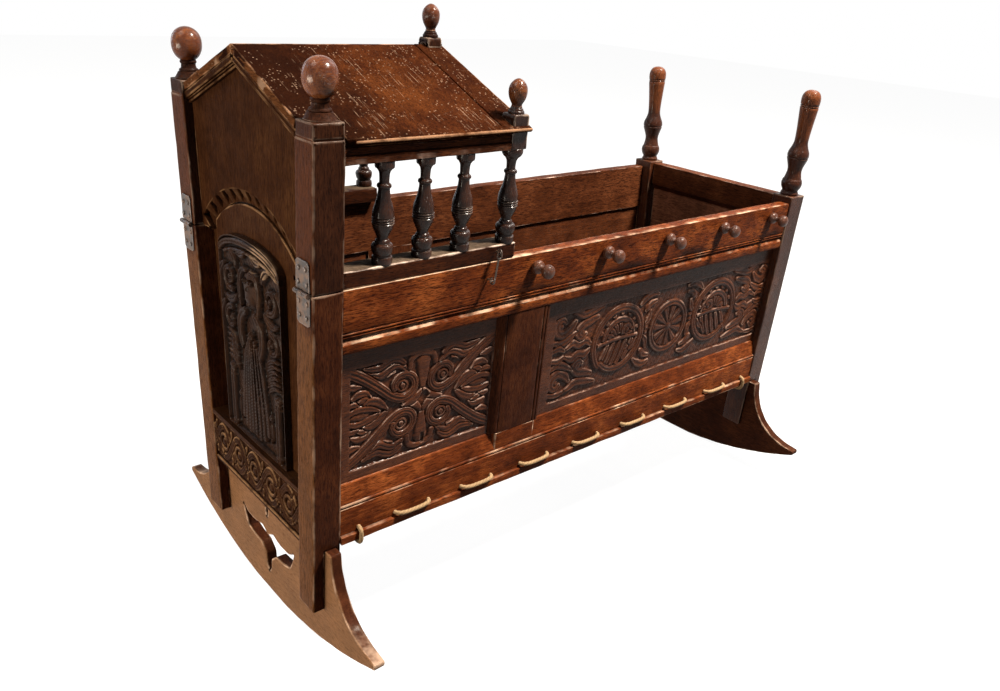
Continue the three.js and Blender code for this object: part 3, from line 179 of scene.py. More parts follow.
def slab(outline, low, high, place, holes=(), edge=1.1, soft=1.3, step=16, sway=0.22, seed=1,
         guard=2.6):
    """A board: an outline (a, b) carried along t from low to high, its rims rounded by a quarter
    circle, its skin moved along its normals by a small ripple, and its proud edges rubbed down
    by another. place turns arrays a, b, t into points."""
    loops = []
    for index, corners in enumerate([outline, *holes]):
        corners = np.asarray(corners, float)
        if (signed_area(corners) > 0) == (index > 0):
            corners = corners[::-1]
        loops.append(soften(corners, soft, step, guard))
    arc = np.radians([0, 30, 60, 90])
    rim_in = edge * (1 - np.sin(arc))
    rim_at = edge * (1 - np.cos(arc))
    inner = np.linspace(low + edge + guard, high - edge - guard,
                        max(2, int(round((high - low) / step)) + 1))
    inset = np.concatenate([[edge + guard], rim_in, 0 * inner, rim_in[::-1], [edge + guard]])
    along = np.concatenate([[low], low + rim_at, inner, high - rim_at[::-1], [high]])
    rim = np.concatenate([[0, 1, 1, 1, 0.6], 0 * inner, [0.6, 1, 1, 1, 0]])
    stations = len(along)
    inside = np.ones((stations, 1))
    inside[[0, -1]] = 0
    points, quads, worn, sunk, starts = [], [], [], [], []
    total = 0
    for outer, normal, sharp in loops:
        count = len(outer)
        flat = outer[None] - normal[None] * inset[:, None, None]
        place3 = np.concatenate([flat, np.broadcast_to(along[:, None, None],
                                                       (stations, count, 1))], 2)
        proud = np.clip(np.maximum(sharp[None] * inside, rim[:, None]), 0, 1)
        wave = ripple(place3, 70, seed) * sway
        rub = np.clip(ripple(place3, 34, seed + 5), 0, 1) * 0.55 * proud
        place3[..., :2] += normal[None] * (wave - rub)[..., None]
        points.append(place3.reshape(-1, 3))
        # Proud corners and rims get pale edges: partly wear, partly a painted highlight.
        worn.append((proud * (0.75 + 0.45 * ripple(place3, 45, seed + 9))).reshape(-1))
        # Hollow corners are darkened: partly dirt, partly painted shade.
        sunk.append((np.clip(-sharp, 0, 1)[None] * inside).reshape(-1))
        quads.append(grid_quads(stations, count, True) + total)
        starts.append(total)
        total += stations * count
    cap_flat = [loop_points.reshape(stations, -1, 3)[0, :, :2] for loop_points in points]
    cap = np.array(tessellate_polygon([[(p[0], p[1], 0.0) for p in ring] for ring in cap_flat]))
    ring_index = np.concatenate([start + np.arange(len(ring))
                                 for start, ring in zip(starts, cap_flat)])
    last_index = np.concatenate([start + (stations - 1) * len(ring) + np.arange(len(ring))
                                 for start, ring in zip(starts, cap_flat)])
    every = np.concatenate(cap_flat)
    side = every[cap]
    turn = np.cross(side[:, 1] - side[:, 0], side[:, 2] - side[:, 0])
    cap[turn < 0] = cap[turn < 0][:, ::-1]
    tris = np.concatenate([ring_index[cap][:, ::-1], last_index[cap]])
    every = np.concatenate(points)
    return Shape(place(every[:, 0], every[:, 1], every[:, 2]), np.concatenate(quads), tris,
                 np.clip(np.concatenate(worn), 0, 1), np.concatenate(sunk))


def smooth_profile(rows, fine=4):
    """Points (height, radius) joined by a smooth curve, a Catmull-Rom one, except where a row is
    given twice, which keeps its corner."""
    rows = np.asarray(rows, float)
    runs = np.split(rows, np.nonzero((np.diff(rows, axis=0) == 0).all(1))[0] + 1)
    share = (np.arange(fine) / fine)[:, None]
    curves = []
    for run in runs:
        if len(run) == 1:
            continue
        wide = np.concatenate([2 * run[:1] - run[1:2], run, 2 * run[-1:] - run[-2:-1]])
        a, b, c, d = (wide[i:len(wide) - 3 + i, None] for i in range(4))
        curve = 0.5 * (2 * b + (c - a) * share + (2 * a - 5 * b + 4 * c - d) * share ** 2
                       + (3 * b - a - 3 * c + d) * share ** 3)
        curves.append(np.concatenate([curve.reshape(-1, 2), run[-1:]]))
    curve = np.concatenate(curves)
    curve[:, 1] = np.maximum(curve[:, 1], 0.02)
    keep = np.concatenate([[True], np.abs(np.diff(curve, axis=0)).sum(1) > 1e-6])
    return curve[keep]


def turned(rows, place, steps=36, sway=0.1, seed=3, fine=4):
    """A turned piece: a profile (height, radius) carried round its axis, a little out of round.
    place turns arrays of two sideways offsets and a height into points."""
    curve = smooth_profile(rows, fine)
    angle = np.linspace(0, 2 * np.pi, steps, endpoint=False)
    height = np.broadcast_to(curve[:, :1], (len(curve), steps))
    radius = np.broadcast_to(curve[:, 1:], (len(curve), steps))
    flat = np.stack([radius * np.cos(angle), radius * np.sin(angle), height], -1)
    radius = radius * (1 + sway / 10 * ripple(flat, 40, seed))
    bend = np.zeros(len(curve))
    bend[1:-1] = (curve[1:-1, 1] - (curve[:-2, 1] + curve[2:, 1]) / 2) \
        / np.maximum(np.abs(curve[2:] - curve[:-2]).sum(1), 0.3)
    bend = np.repeat(bend, steps)
    u = (radius * np.cos(angle)).reshape(-1)
    v = (radius * np.sin(angle)).reshape(-1)
    ends = len(u) + np.arange(2)
    u = np.append(u, [0, 0])
    v = np.append(v, [0, 0])
    h = np.append(height.reshape(-1), [curve[0, 0], curve[-1, 0]])
    ring = np.arange(steps)
    ahead = (ring + 1) % steps
    top = (len(curve) - 1) * steps
    tris = np.concatenate([
        np.stack([np.full(steps, ends[0]), ahead, ring], 1),
        np.stack([np.full(steps, ends[1]), top + ring, top + ahead], 1)])
    # Convex bends get pale edges, partly wear and partly a painted highlight; hollow bends are
    # darkened, partly dirt and partly painted shade.
    worn = np.clip(np.append(bend * 7, [0, 0]), 0, 1)
    sunk = np.clip(np.append(-bend * 9, [0, 0]), 0, 1)
    return Shape(place(u, v, h), grid_quads(len(curve), steps, True), tris, worn, sunk)


def carved(u, v, height, thick, place, worn, sunk):
    """A carved board: a grid of points (u, v) at its own height over the board's face, walls down
    its sides and a flat back. place turns arrays u, v and height into points."""
    rows, columns = u.shape
    index = np.arange(rows * columns).reshape(rows, columns)
    edge = np.concatenate([index[0, :-1], index[:-1, -1], index[-1, :0:-1], index[:0:-1, 0]])
    flat_u, flat_v = u.reshape(-1), v.reshape(-1)
    count = len(flat_u)
    back = count + np.arange(len(edge))
    centre = count + len(edge)
    all_u = np.concatenate([flat_u, flat_u[edge], [u.mean()]])
    all_v = np.concatenate([flat_v, flat_v[edge], [v.mean()]])
    all_h = np.concatenate([height.reshape(-1), np.full(len(edge) + 1, -float(thick))])
    ahead = np.roll(np.arange(len(edge)), -1)
    walls = np.stack([edge, back, back[ahead], edge[ahead]], 1)
    tris = np.stack([np.full(len(edge), centre), back[ahead], back], 1)
    pad = np.zeros(len(edge) + 1)
    return Shape(place(all_u, all_v, all_h), np.concatenate([grid_quads(rows, columns), walls]),
                 tris, np.append(worn.reshape(-1), pad), np.append(sunk.reshape(-1), pad))


def tube(path, radius, place, steps=10, lobes=0, lay=0.0, depth=0.0):
    """A round wire or a laid rope: a ring carried along a path. For a rope the ring has lobes that
    turn once in each lay, radius * (1 - depth + depth * |cos|)."""
    path = np.asarray(path, float)
    tangent = np.gradient(path, axis=0)
    tangent /= np.linalg.norm(tangent, axis=1)[:, None]
    side = np.cross(tangent, [0.13, 0.21, 0.97])
    side /= np.linalg.norm(side, axis=1)[:, None]
    up = np.cross(side, tangent)
    far = np.concatenate([[0], np.cumsum(np.linalg.norm(np.diff(path, axis=0), axis=1))])
    angle = np.linspace(0, 2 * np.pi, steps, endpoint=False)[None]
    size = np.broadcast_to(np.asarray(radius, float), len(path))[:, None]
    sunk = np.zeros((len(path), steps))
    if lobes:
        twist = 2 * np.pi * far[:, None] / lay
        hump = np.abs(np.cos(lobes / 2 * (angle - twist)))
        size = size * (1 - depth + depth * hump ** 0.7)
        # The grooves between the strands are darkened: painted shade.
        sunk = 1 - hump
    ring = (path[:, None] + side[:, None] * (size * np.cos(angle))[..., None]
            + up[:, None] * (size * np.sin(angle))[..., None])
    points = np.concatenate([ring.reshape(-1, 3), path[:1], path[-1:]])
    first, last = len(points) - 2, len(points) - 1
    around = np.arange(steps)
    ahead = (around + 1) % steps
    top = (len(path) - 1) * steps
    tris = np.concatenate([np.stack([np.full(steps, first), ahead, around], 1),
                           np.stack([np.full(steps, last), top + around, top + ahead], 1)])
    return Shape(place(points[:, 0], points[:, 1], points[:, 2]),
                 grid_quads(len(path), steps, True), tris, 0,
                 np.append(sunk.reshape(-1), [0, 0]))


# Places in the working frame.

def body_place(x, y, z):
    return np.stack([x, y, z], -1)


def across(depth, high):
    """Middle to a depth inside the posts' outer face, at a height."""
    return HALF_WIDTH - depth / math.cos(LEAN) + (high - SPLIT) * math.tan(LEAN)


class Side:
    """One leaning side: places by depth inside the posts' face."""

    def __init__(self, name, inward):
        self.name = name
        self.inward = inward

    def level(self, x, depth, high):
        """Depth measured square to the side, height true above the floor."""
        return np.stack([x + 0 * high, -self.inward * across(depth, high), high + 0 * x], -1)

    def square(self, x, depth, up):
        """Both depth and up lie in the leaning side's own frame, up from the split's height."""
        y = HALF_WIDTH - depth * math.cos(LEAN) + up * math.sin(LEAN)
        z = SPLIT + depth * math.sin(LEAN) + up * math.cos(LEAN)
        return np.stack([x + 0 * up, -self.inward * y, z + 0 * x], -1)

    def up(self, depth, high):
        """A true height as a height in the leaning frame."""
        return (high - SPLIT - depth * math.sin(LEAN)) / math.cos(LEAN)

    def along_x(self, a, b, t):
        return self.level(t, a, b)

    def along_depth(self, a, b, t):
        return self.level(a, t, b)

    def standing(self, x, depth, high):
        """Place for a turned piece that stands in the leaning frame."""
        base = self.up(depth, high)
        return lambda u, v, h: self.square(x + u, depth + v, base + h)


near = Side("near", 1)
far = Side("far", -1)
sides = (near, far)


def along_x(a, b, t):
    """A body piece whose outline is (y, z), carried along x."""
    return np.stack([t, a, b], -1)


def upright(x, y, high):
    return lambda u, v, h: np.stack([x + u, y + v, high + h], -1)


# Materials.

class Value:
    """A socket that takes part in sums: each operator adds a Math node."""

    def __init__(self, graph, socket):
        self.graph = graph
        self.socket = socket

    def _math(self, operation, first, second):
        return self.graph.node("ShaderNodeMath", {"operation": operation, "use_clamp": False},
                               {0: first, 1: second})

    def __add__(self, other):
        return self._math("ADD", self, other)

    def __radd__(self, other):
        return self._math("ADD", other, self)

    def __sub__(self, other):
        return self._math("SUBTRACT", self, other)

    def __rsub__(self, other):
        return self._math("SUBTRACT", other, self)

    def __mul__(self, other):
        return self._math("MULTIPLY", self, other)

    def least(self, other):
        return self._math("MINIMUM", self, other)

    def most(self, other):
        return self._math("MAXIMUM", self, other)

    def band(self, low, high):
        """0 below low, 1 above high, smooth between."""
        return self.graph.node("ShaderNodeMapRange",
                               {"interpolation_type": "SMOOTHSTEP", "clamp": True},
                               {"Value": self, "From Min": low, "From Max": high})


class Graph:
    """A material's nodes, or the nodes of the world."""

    def __init__(self, name, owner=None):
        self.material = owner or bpy.data.materials.new(name)
        self.material.use_nodes = True
        self.tree = self.material.node_tree
        self.shader = self.tree.nodes.get("Principled BSDF")

    def node(self, kind, settings=None, inputs=None, output=0):
        node = self.tree.nodes.new(kind)
        for key, setting in (settings or {}).items():
            if key == "stops":
                ramp = node.color_ramp
                while len(ramp.elements) < len(setting):
                    ramp.elements.new(0.5)
                for element, (at, colour) in zip(ramp.elements, setting):
                    element.position = at
                    element.color = (*colour, 1)
            else:
                setattr(node, key, setting)
        for key, given in (inputs or {}).items():
            self.feed(node.inputs[key], given)
        return Value(self, node.outputs[output])

    def feed(self, socket, given):
        if isinstance(given, Value):
            self.tree.links.new(given.socket, socket)
        else:
            socket.default_value = given

    def shade(self, **inputs):
        for key, given in inputs.items():
            self.feed(self.shader.inputs[key.replace("_", " ")], given)
        return self.material

    def noise(self, place, scale, detail=4.0, rough=0.55, distortion=0.0):
        return self.node("ShaderNodeTexNoise", {"noise_dimensions": "3D"},
                         {"Vector": place, "Scale": scale, "Detail": detail,
                          "Roughness": rough, "Distortion": distortion})

    def stretched(self, stretch, shift=(0, 0, 0), turn=(0, 0, 0)):
        """Object coordinates, scaled per axis."""
        place = self.node("ShaderNodeTexCoord", output=3)
        return self.node("ShaderNodeMapping", {},
                         {"Vector": place, "Location": shift, "Rotation": turn,
                          "Scale": stretch})

    def mix(self, factor, first, second, blend="MIX"):
        node = self.tree.nodes.new("ShaderNodeMix")
        node.data_type = "RGBA"
        node.blend_type = blend
        self.feed(node.inputs[0], factor)
        self.feed(node.inputs[6], first if isinstance(first, Value) else (*first, 1))
        self.feed(node.inputs[7], second if isinstance(second, Value) else (*second, 1))
        return Value(self, node.outputs[2])

    def attribute(self, name):
        return self.node("ShaderNodeAttribute", {"attribute_name": name}, output=2)

    def looked_at(self):
        """1 for rays of the camera, of gloss and through glass, otherwise 0."""
        path = self.tree.nodes.new("ShaderNodeLightPath")
        camera, glossy, through = (Value(self, path.outputs[name]) for name in (
            "Is Camera Ray", "Is Glossy Ray", "Is Transmission Ray"))
        return camera.most(glossy).most(through)


# Each oak tone: deep, middle and light colour of the grain, and the colour of its pale edges,
# partly rubbed wood and partly a painted highlight.
TONES = {
    "dark": ((0.010, 0.0026, 0.0013), (0.037, 0.0104, 0.0043), (0.078, 0.0245, 0.0096),
             (0.42, 0.28, 0.2)),
    "panel": ((0.014, 0.0038, 0.0016), (0.056, 0.0158, 0.0058), (0.115, 0.036, 0.0135),
              (0.5, 0.34, 0.27)),
    "red": ((0.016, 0.0034, 0.0013), (0.105, 0.0235, 0.0062), (0.29, 0.08, 0.0205),
            (0.6, 0.41, 0.28)),
    "roof": ((0.006, 0.0017, 0.0008), (0.026, 0.0063, 0.002), (0.062, 0.0172, 0.0046),
             (0.34, 0.18, 0.1)),
    "black": ((0.006, 0.0018, 0.001), (0.0185, 0.006, 0.0029), (0.04, 0.0135, 0.0062),
              (0.36, 0.26, 0.2)),
    "deep": ((0.007, 0.0019, 0.0009), (0.026, 0.007, 0.0027), (0.062, 0.0178, 0.0062),
             (0.55, 0.42, 0.34)),
    "relief": ((0.005, 0.0018, 0.0007), (0.015, 0.0052, 0.0018), (0.034, 0.0133, 0.0048),
               (0.2, 0.125, 0.075)),
    "end": ((0.008, 0.0026, 0.0009), (0.022, 0.0075, 0.0026), (0.042, 0.0165, 0.006),
            (0.14, 0.075, 0.036)),
    "inner": ((0.13, 0.06, 0.03), (0.38, 0.2, 0.105), (0.58, 0.34, 0.19),
              (0.6, 0.36, 0.2)),
    "inside": ((0.035, 0.013, 0.007), (0.13, 0.05, 0.027), (0.22, 0.095, 0.052),
               (0.45, 0.3, 0.2)),
    "dust": ((0.018, 0.012, 0.008), (0.07, 0.046, 0.03), (0.125, 0.088, 0.062),
             (0.3, 0.2, 0.14)),
    "ball": ((0.012, 0.0028, 0.0011), (0.07, 0.018, 0.0055), (0.2, 0.068, 0.02),
             (0.4, 0.2, 0.1)),
}
STRETCH = {"x": (7, 210, 210), "y": (210, 7, 210), "z": (210, 210, 7)}
FLECK = {"x": (80, 760, 760), "y": (760, 80, 760), "z": (760, 760, 80)}
PORES = {"x": (110, 1300, 1300), "y": (1300, 110, 1300), "z": (1300, 1300, 110)}
made = {}


def oak(tone, grain, gloss=0.4, polish=0.04, specks=0.0, figure=0.6, edge_paling=1.0, shine=0.07,
        darker_ends=None, light_or_wear_tone=None):
    """Waxed old oak: long grain streaks, dark flecks and short pores along one axis, slow changes
    of tone, sunk places darkened partly by dirt and partly as painted shade, pale edges that are
    partly rubbed wood and partly a painted highlight, and a polish that is uneven. It may be made
    darker towards its ends, and paler where its pale attribute is set."""
    key = "oak_" + "_".join([tone, grain, *(str(int(value * 100)) for value in (
        gloss, polish, specks, figure, edge_paling, shine))] + ["faded"] * bool(darker_ends)
        + [str(int(1000 * value)) for value in light_or_wear_tone or ()])
    if key in made:
        return made[key]
    graph = Graph(key)
    deep, middle, light, rubbed = TONES[tone]
    plain = graph.stretched((1, 1, 1))
    streak = graph.noise(graph.stretched(STRETCH[grain]), 1.0, 5.0, 0.6, 0.5)
    fine = graph.noise(graph.stretched(FLECK[grain]), 1.0, 3.0, 0.65, 0.3)
    cloud = graph.noise(plain, 24.0, 4.0, 0.6)
    spread = graph.noise(plain, 4.5, 2.0)
    pore = graph.noise(graph.stretched(PORES[grain]), 1.0, 2.0).band(0.52, 0.62)
    level = streak * 0.35 + fine * 0.2 + cloud * 0.6 + spread * 0.45 - 0.3
    colour = graph.node("ShaderNodeValToRGB", {"stops": [
        (0.27, deep), (0.5, middle), (0.74, light)]}, {"Fac": level})
    # Darker towards the ends along x, between the given bounds.
    if darker_ends:
        along = graph.node("ShaderNodeSeparateXYZ", {}, {0: plain}, output=0) \
            + (cloud - 0.5) * 0.12
        end_darkening = (1 - along.band(*darker_ends[:2])).most(along.band(*darker_ends[2:]) * 0.45)
        colour = graph.mix(end_darkening * 0.85, colour, tuple(1.1 * c for c in deep))
    # Paler where the pale attribute is set: painted light on faces that catch light, and hand wear
    # on the handles.
    if light_or_wear_tone:
        lit_or_worn = (graph.attribute("pale") * 1.5 + cloud * 1.2 - 0.85).band(0.1, 0.9)
        colour = graph.mix(lit_or_worn, colour, graph.mix(
            (streak * 0.6 + cloud * 0.8).band(0.4, 1.0), tuple(0.82 * c for c in light_or_wear_tone),
            tuple(1.2 * c for c in light_or_wear_tone)))
    fleck = fine.band(0.5, 0.36)
    colour = graph.mix(fleck * figure, colour, deep)
    colour = graph.mix(pore * (0.2 + 0.5 * figure), colour, tuple(0.5 * c for c in deep))
    patch = graph.noise(plain, 40.0, 3.0)
    worn = graph.attribute("worn")
    # Pale edges: partly rubbed wood, partly a painted highlight.
    rub = (worn * (patch * 2.0 - 0.3)).band(0.25, 0.85) * (0.85 * edge_paling)
    colour = graph.mix(rub, colour, rubbed)
    # Sunk places are darkened: partly dirt, partly painted shade.
    sunk = graph.attribute("sunk")
    colour = graph.mix((sunk * 0.95).least(0.95), colour, tuple(0.3 * c for c in deep))
    scuff = graph.noise(plain, 16.0, 6.0, 0.7)
    rough = gloss + scuff * 0.26 - rub * 0.04 + pore * 0.15 + sunk * 0.25 - 0.1
    if specks:
        dots = graph.node("ShaderNodeTexVoronoi", {"feature": "F1"},
                          {"Vector": plain, "Scale": 210.0, "Randomness": 1.0})
        dot = (1 - dots.band(0.13, 0.24)) * graph.noise(plain, 40.0, 2.0).band(0.44, 0.54)
        scratch = graph.noise(graph.stretched((900, 20, 20), turn=(0, 0, 0.05)), 1.0, 1.0)
        line = scratch.band(0.65, 0.7) * graph.noise(plain, 30.0, 2.0).band(0.5, 0.62)
        pale = dot.most(line) * specks
        colour = graph.mix(pale * 0.8, colour, (0.17, 0.105, 0.07))
        rough = rough + pale * 0.2
    tall = streak * 0.25 + fine * 0.35 - pore * 0.7 + scuff * 0.35
    bump = graph.node("ShaderNodeBump", {}, {"Strength": 0.6, "Distance": 0.0006,
                                             "Height": tall})
    made[key] = graph.shade(Base_Color=colour, Roughness=rough.most(0.12), Normal=bump,
                            Coat_Weight=0.18 * polish, Coat_Roughness=0.12,
                            Specular_IOR_Level=0.25 * shine)
    return made[key]


def iron():
    """Dark forged iron with a brown bloom where it isn't rubbed."""
    if "iron" in made:
        return made["iron"]
    graph = Graph("iron")
    plain = graph.stretched((1, 1, 1))
    bloom = graph.noise(plain, 90.0, 5.0, 0.65).band(0.4, 0.62)
    worn = graph.attribute("worn")
    colour = graph.mix(bloom, (0.022, 0.014, 0.01), (0.06, 0.027, 0.012))
    colour = graph.mix(worn * 0.6, colour, (0.16, 0.14, 0.14))
    pit = graph.noise(plain, 700.0, 4.0)
    bump = graph.node("ShaderNodeBump", {}, {"Strength": 0.5, "Distance": 0.0004,
                                             "Height": pit})
    made["iron"] = graph.shade(Base_Color=colour, Metallic=0.5 - bloom * 0.45,
                               Roughness=bloom * 0.25 + 0.36, Normal=bump)
    return made["iron"]


def hemp():
    """Laid rope: tan yarn with painted shade in the grooves between the strands, and fine fibres.
    """
    graph = Graph("hemp")
    plain = graph.stretched((1, 1, 1))
    tint = graph.noise(plain, 60.0, 4.0)
    fibre = graph.noise(graph.stretched((1, 1, 1)), 2600.0, 2.0)
    sunk = graph.attribute("sunk")
    colour = graph.mix(tint, (0.2, 0.12, 0.055), (0.36, 0.235, 0.115))
    colour = graph.mix(sunk * 0.85, colour, (0.10, 0.05, 0.02))
    bump = graph.node("ShaderNodeBump", {}, {"Strength": 0.6, "Distance": 0.0003,
                                             "Height": fibre})
    return graph.shade(Base_Color=colour, Roughness=0.85, Normal=bump)


# Making pieces.

def make(name, shapes, body, material, replaces=(), crease=40):
    """One object from several closed shapes, in metres in the row frame."""
    shapes = shapes if isinstance(shapes, (list, tuple)) else [shapes]
    start = np.cumsum([0] + [len(shape.points) for shape in shapes])
    points = np.concatenate([shape.points for shape in shapes]) - (MIDDLE, 0, 0)
    quads = np.concatenate([shape.quads + at for shape, at in zip(shapes, start)])
    tris = np.concatenate([shape.tris + at for shape, at in zip(shapes, start)])
    mesh = bpy.data.meshes.new(name)
    mesh.from_pydata((points * MM).tolist(), [], quads.tolist() + tris.tolist())
    for key in ("worn", "sunk", "pale"):
        layer = mesh.attributes.new(key, "FLOAT", "POINT")
        layer.data.foreach_set("value", np.concatenate(
            [getattr(shape, key) for shape in shapes]).astype(np.float32))
    mesh.polygons.foreach_set("use_smooth", np.ones(len(mesh.polygons), bool))
    mesh.set_sharp_from_angle(angle=math.radians(crease))
    mesh.materials.append(material)
    piece = bpy.data.objects.new(name, mesh)
    bpy.context.scene.collection.objects.link(piece)
    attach(piece, body)
    if replaces:
        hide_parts(*([replaces] if isinstance(replaces, str) else replaces))
    return piece


# Posts.

# Profiles of turned pieces: height above the wood and radius. A doubled row keeps a corner.
HANDLE = [
    (-1, 14.4), (-1, 14.4), (1, 14.6), (2.8, 15.1), (5, 14.2), (6.6, 13.3), (8, 13.2),
    (8, 13.2), (11, 14.9), (15, 16.6), (20.5, 17.3), (25, 16.4), (27, 15.6), (27, 15.6),
    (28, 14.6), (32, 13.6), (37, 12.5), (42, 12), (48, 12.8), (55, 15), (61, 17), (63, 17.5),
    (63, 17.5), (64.3, 16.8), (64.3, 16.8), (65.6, 17.6), (69, 17.9), (74, 17), (80, 14.4),
    (86, 12.3), (93, 11.3), (110, 12), (130, 13.6), (147, 15.2), (147, 15.2), (148.6, 14.4),
    (150, 15.3), (151.4, 14.5), (153, 15.5), (153, 15.5), (161, 15.7), (167, 14.5),
    (172, 11.4), (175, 6.4), (176, 0.1),
]
BALL = [
    (-1, 17.2), (-1, 17.2), (1.2, 17.4), (1.2, 17.4), (3.4, 16), (6, 14.4), (8.4, 13.2),
    (8.4, 13.2), (8.8, 11.6), (8.8, 11.6), (10.4, 11.9), (11.8, 11.2), (11.8, 11.2),
    (12.4, 9.8), (15, 9), (17.6, 8.8), (17.6, 8.8), (19, 9.9), (20.2, 10.2), (21.4, 9.7),
    (22.4, 9.2), (22.4, 9.2), (25, 12.6), (29, 15.6), (35, 17.9), (42, 18.5), (48.5, 17.7),
    (54, 15.2), (58.4, 11), (61.2, 5.4), (62, 0.1),
]
EGG = [
    (-1, 9.6), (-1, 9.6), (1.5, 9.9), (3, 9.5), (3, 9.5), (3.8, 8.6), (5.6, 8), (6.4, 7),
    (6.4, 7), (8, 6.3), (10, 6.1), (12, 7), (16, 9.2), (20, 10.6), (25, 11.3), (30, 10.8),
    (34, 9), (37.5, 5.8), (39.4, 2.6), (40, 0.1),
]
BALUSTER = [
    (0, 11.3), (0, 11.3), (1, 11.9), (4.5, 12), (8, 11.5), (8, 11.5), (8.7, 10), (9.8, 9.8),
    (9.8, 9.8), (14, 11.8), (19.6, 12.6), (23, 11.2), (24.5, 8.4), (24.5, 8.4), (26.4, 8.3),
    (28, 7.6), (28, 7.6), (29, 6.7), (31, 6.5), (36.6, 9), (42, 11.4), (47.3, 12.5),
    (47.3, 12.5), (48.2, 11.7), (49.1, 12.5), (49.1, 12.5), (50, 12.6), (50, 12.6),
    (50.9, 11.7), (51.8, 12.6), (51.8, 12.6), (53.1, 12.6), (53.1, 12.6), (54, 11.6),
    (54.9, 12.4), (54.9, 12.4), (60, 12), (65, 10.8), (74, 8.1), (82, 6.8), (86.4, 6.5),
    (86.4, 6.5), (87.8, 7.9), (89.4, 8.2), (91, 7.6), (92, 6), (92, 6), (93.4, 5.6), (98, 5.7),
    (104, 6.3), (108, 8.6), (108, 8.6), (109.4, 10.6), (112, 11), (116.5, 10.9),
]
CORNER_LEG = BALUSTER[:-5] + [
    (98, 5.7), (103, 6.4), (107, 8.8), (107, 8.8), (108, 10.4), (111, 12.4), (114, 13.2),
    (118, 12.4), (119, 8),
]
KNOB = [
    (0, 6.6), (0, 6.6), (1.4, 8.4), (5, 9.5), (8.6, 8.4), (11, 5.4), (13.2, 3.7), (15, 3.6),
    (16.6, 4.6), (18.6, 7.2), (22, 9.3), (26, 9.4), (29.4, 7.6), (31.3, 4), (32, 0.1),
]


def fork(side, outer, inner, top):
    """A post slotted for its rocker: its outline in (x, z), from the outer face to the inner."""
    way = 1 if inner > outer else -1
    slot = outer + way * TINE
    wide = way * (ROCKER_THICK + 2 * GAP)
    high = ROCKER_TOP + GAP
    outline = [(outer, POST_FOOT), (slot, POST_FOOT), (slot, high), (slot + wide, high),
               (slot + wide, POST_FOOT), (inner, POST_FOOT), (inner, top), (outer, top)]
    return slab(outline, 0, POST, side.along_depth, soft=1.6, edge=1.6, step=22, sway=0.3,
                seed=side.inward + 4)


polished = oak("ball", "x", 0.17, 0.5, figure=0.3, shine=0.4)


def sunned(shape, dark_from, pale_to):
    """Marks the face at the head end as paler, a painted light for the light that face catches,
    most near the floor: not at all over the first height, and fully under the second."""
    x, z = shape.points[:, 0], shape.points[:, 2]
    shape.pale = np.clip(1.3 - x / 2, 0, 1) * np.clip((dark_from - z) / (dark_from - pale_to),
                                                      0, 1)
    return shape


def handled(shape, dark_to, bright_from):
    """Marks a handle as rubbed bright by hands: not at all under the first height, and fully
    over the second."""
    shape.pale = np.clip((shape.points[:, 2] - dark_to) / (bright_from - dark_to), 0, 1)
    return shape


for side in sides:
    post = sunned(fork(side, 0, POST, SPLIT), dark_from=540, pale_to=400)
    make(f"oak_head_post_{side.name}", post, "cradle",
         oak("dark", "z", edge_paling=0.4, light_or_wear_tone=(0.07, 0.027, 0.0085)),
         f"head_post_{side.name}")
    stand = side.standing(LENGTH - POST / 2, POST / 2, FOOT_POST_TOP)
    handle = handled(turned(HANDLE, stand, 40), dark_to=590, bright_from=640)
    make(f"oak_foot_post_{side.name}",
         [fork(side, LENGTH, LENGTH - POST, FOOT_POST_TOP), handle], "cradle",
         oak("dark", "z", 0.26, 0.35, edge_paling=0.3, shine=0.3, light_or_wear_tone=(0.11, 0.031, 0.0095)),
         f"foot_post_{side.name}")
    shaft = slab([(0, SPLIT + GAP), (POST, SPLIT + GAP), (POST, 673), (0, 673)], 0, POST,
                 side.along_depth, soft=1.6, edge=1.6, sway=0.3, seed=9)
    cap = slab([(0.5, 673.6), (37.5, 673.6), (37.5, HOOD_POST_TOP), (0.5, HOOD_POST_TOP)],
               0.5, 37.5, side.along_depth, soft=1.6, edge=1.8, sway=0.2, seed=12)
    waist = slab([(0.9, 671), (37.1, 671), (37.1, 676), (0.9, 676)], 0.9, 37.1,
                 side.along_depth, seed=3)
    stand = side.standing(POST / 2, POST / 2, HOOD_POST_TOP)
    base = turned([*BALL[:-10], (24, 8)], stand, 44)
    ball = turned([(21.4, 6), (22.4, 9.2), *BALL[-9:]], stand, 44)
    for piece in (shaft, waist):
        sunned(piece, dark_from=900, pale_to=700)
    make(f"oak_hood_post_{side.name}", [shaft, waist, cap, base], "hood",
         oak("black", "z", 0.4, 0.06, edge_paling=0.3, shine=0.08, light_or_wear_tone=(0.042, 0.012, 0.0036)),
         f"hood_post_{side.name}")
    make(f"oak_ball_{side.name}", ball, "hood", polished)


# Rockers.

def rise(out):
    """How high the rocker's foot stands above the floor, at a distance out from the middle."""
    return math.sqrt(ROCKER_ARC ** 2 - ROCKER_FLAT ** 2) - math.sqrt(ROCKER_ARC ** 2 - out ** 2)


HORN = [(1, 0), (0.76, 0.03), (0.5, 0.12), (0.28, 0.28), (0.12, 0.5), (0.03, 0.76), (0, 1)]
PIERCING = [(0, 31), (6, 40), (8, 57), (22, 69), (44, 71), (63, 76), (70, 89), (77, 106),
            (62, 97), (43, 96), (26, 99), (16, 102), (8, 98), (0, 93)]
SLIT = [(0, 123), (3.4, 132), (2.6, 138), (0, 139.5), (-2.6, 138), (-3.4, 132)]


def mirrored(points):
    """A half outline and its mirror image, as one closed outline."""
    return list(points) + [(-u, v) for u, v in reversed(points) if u > 0.01]


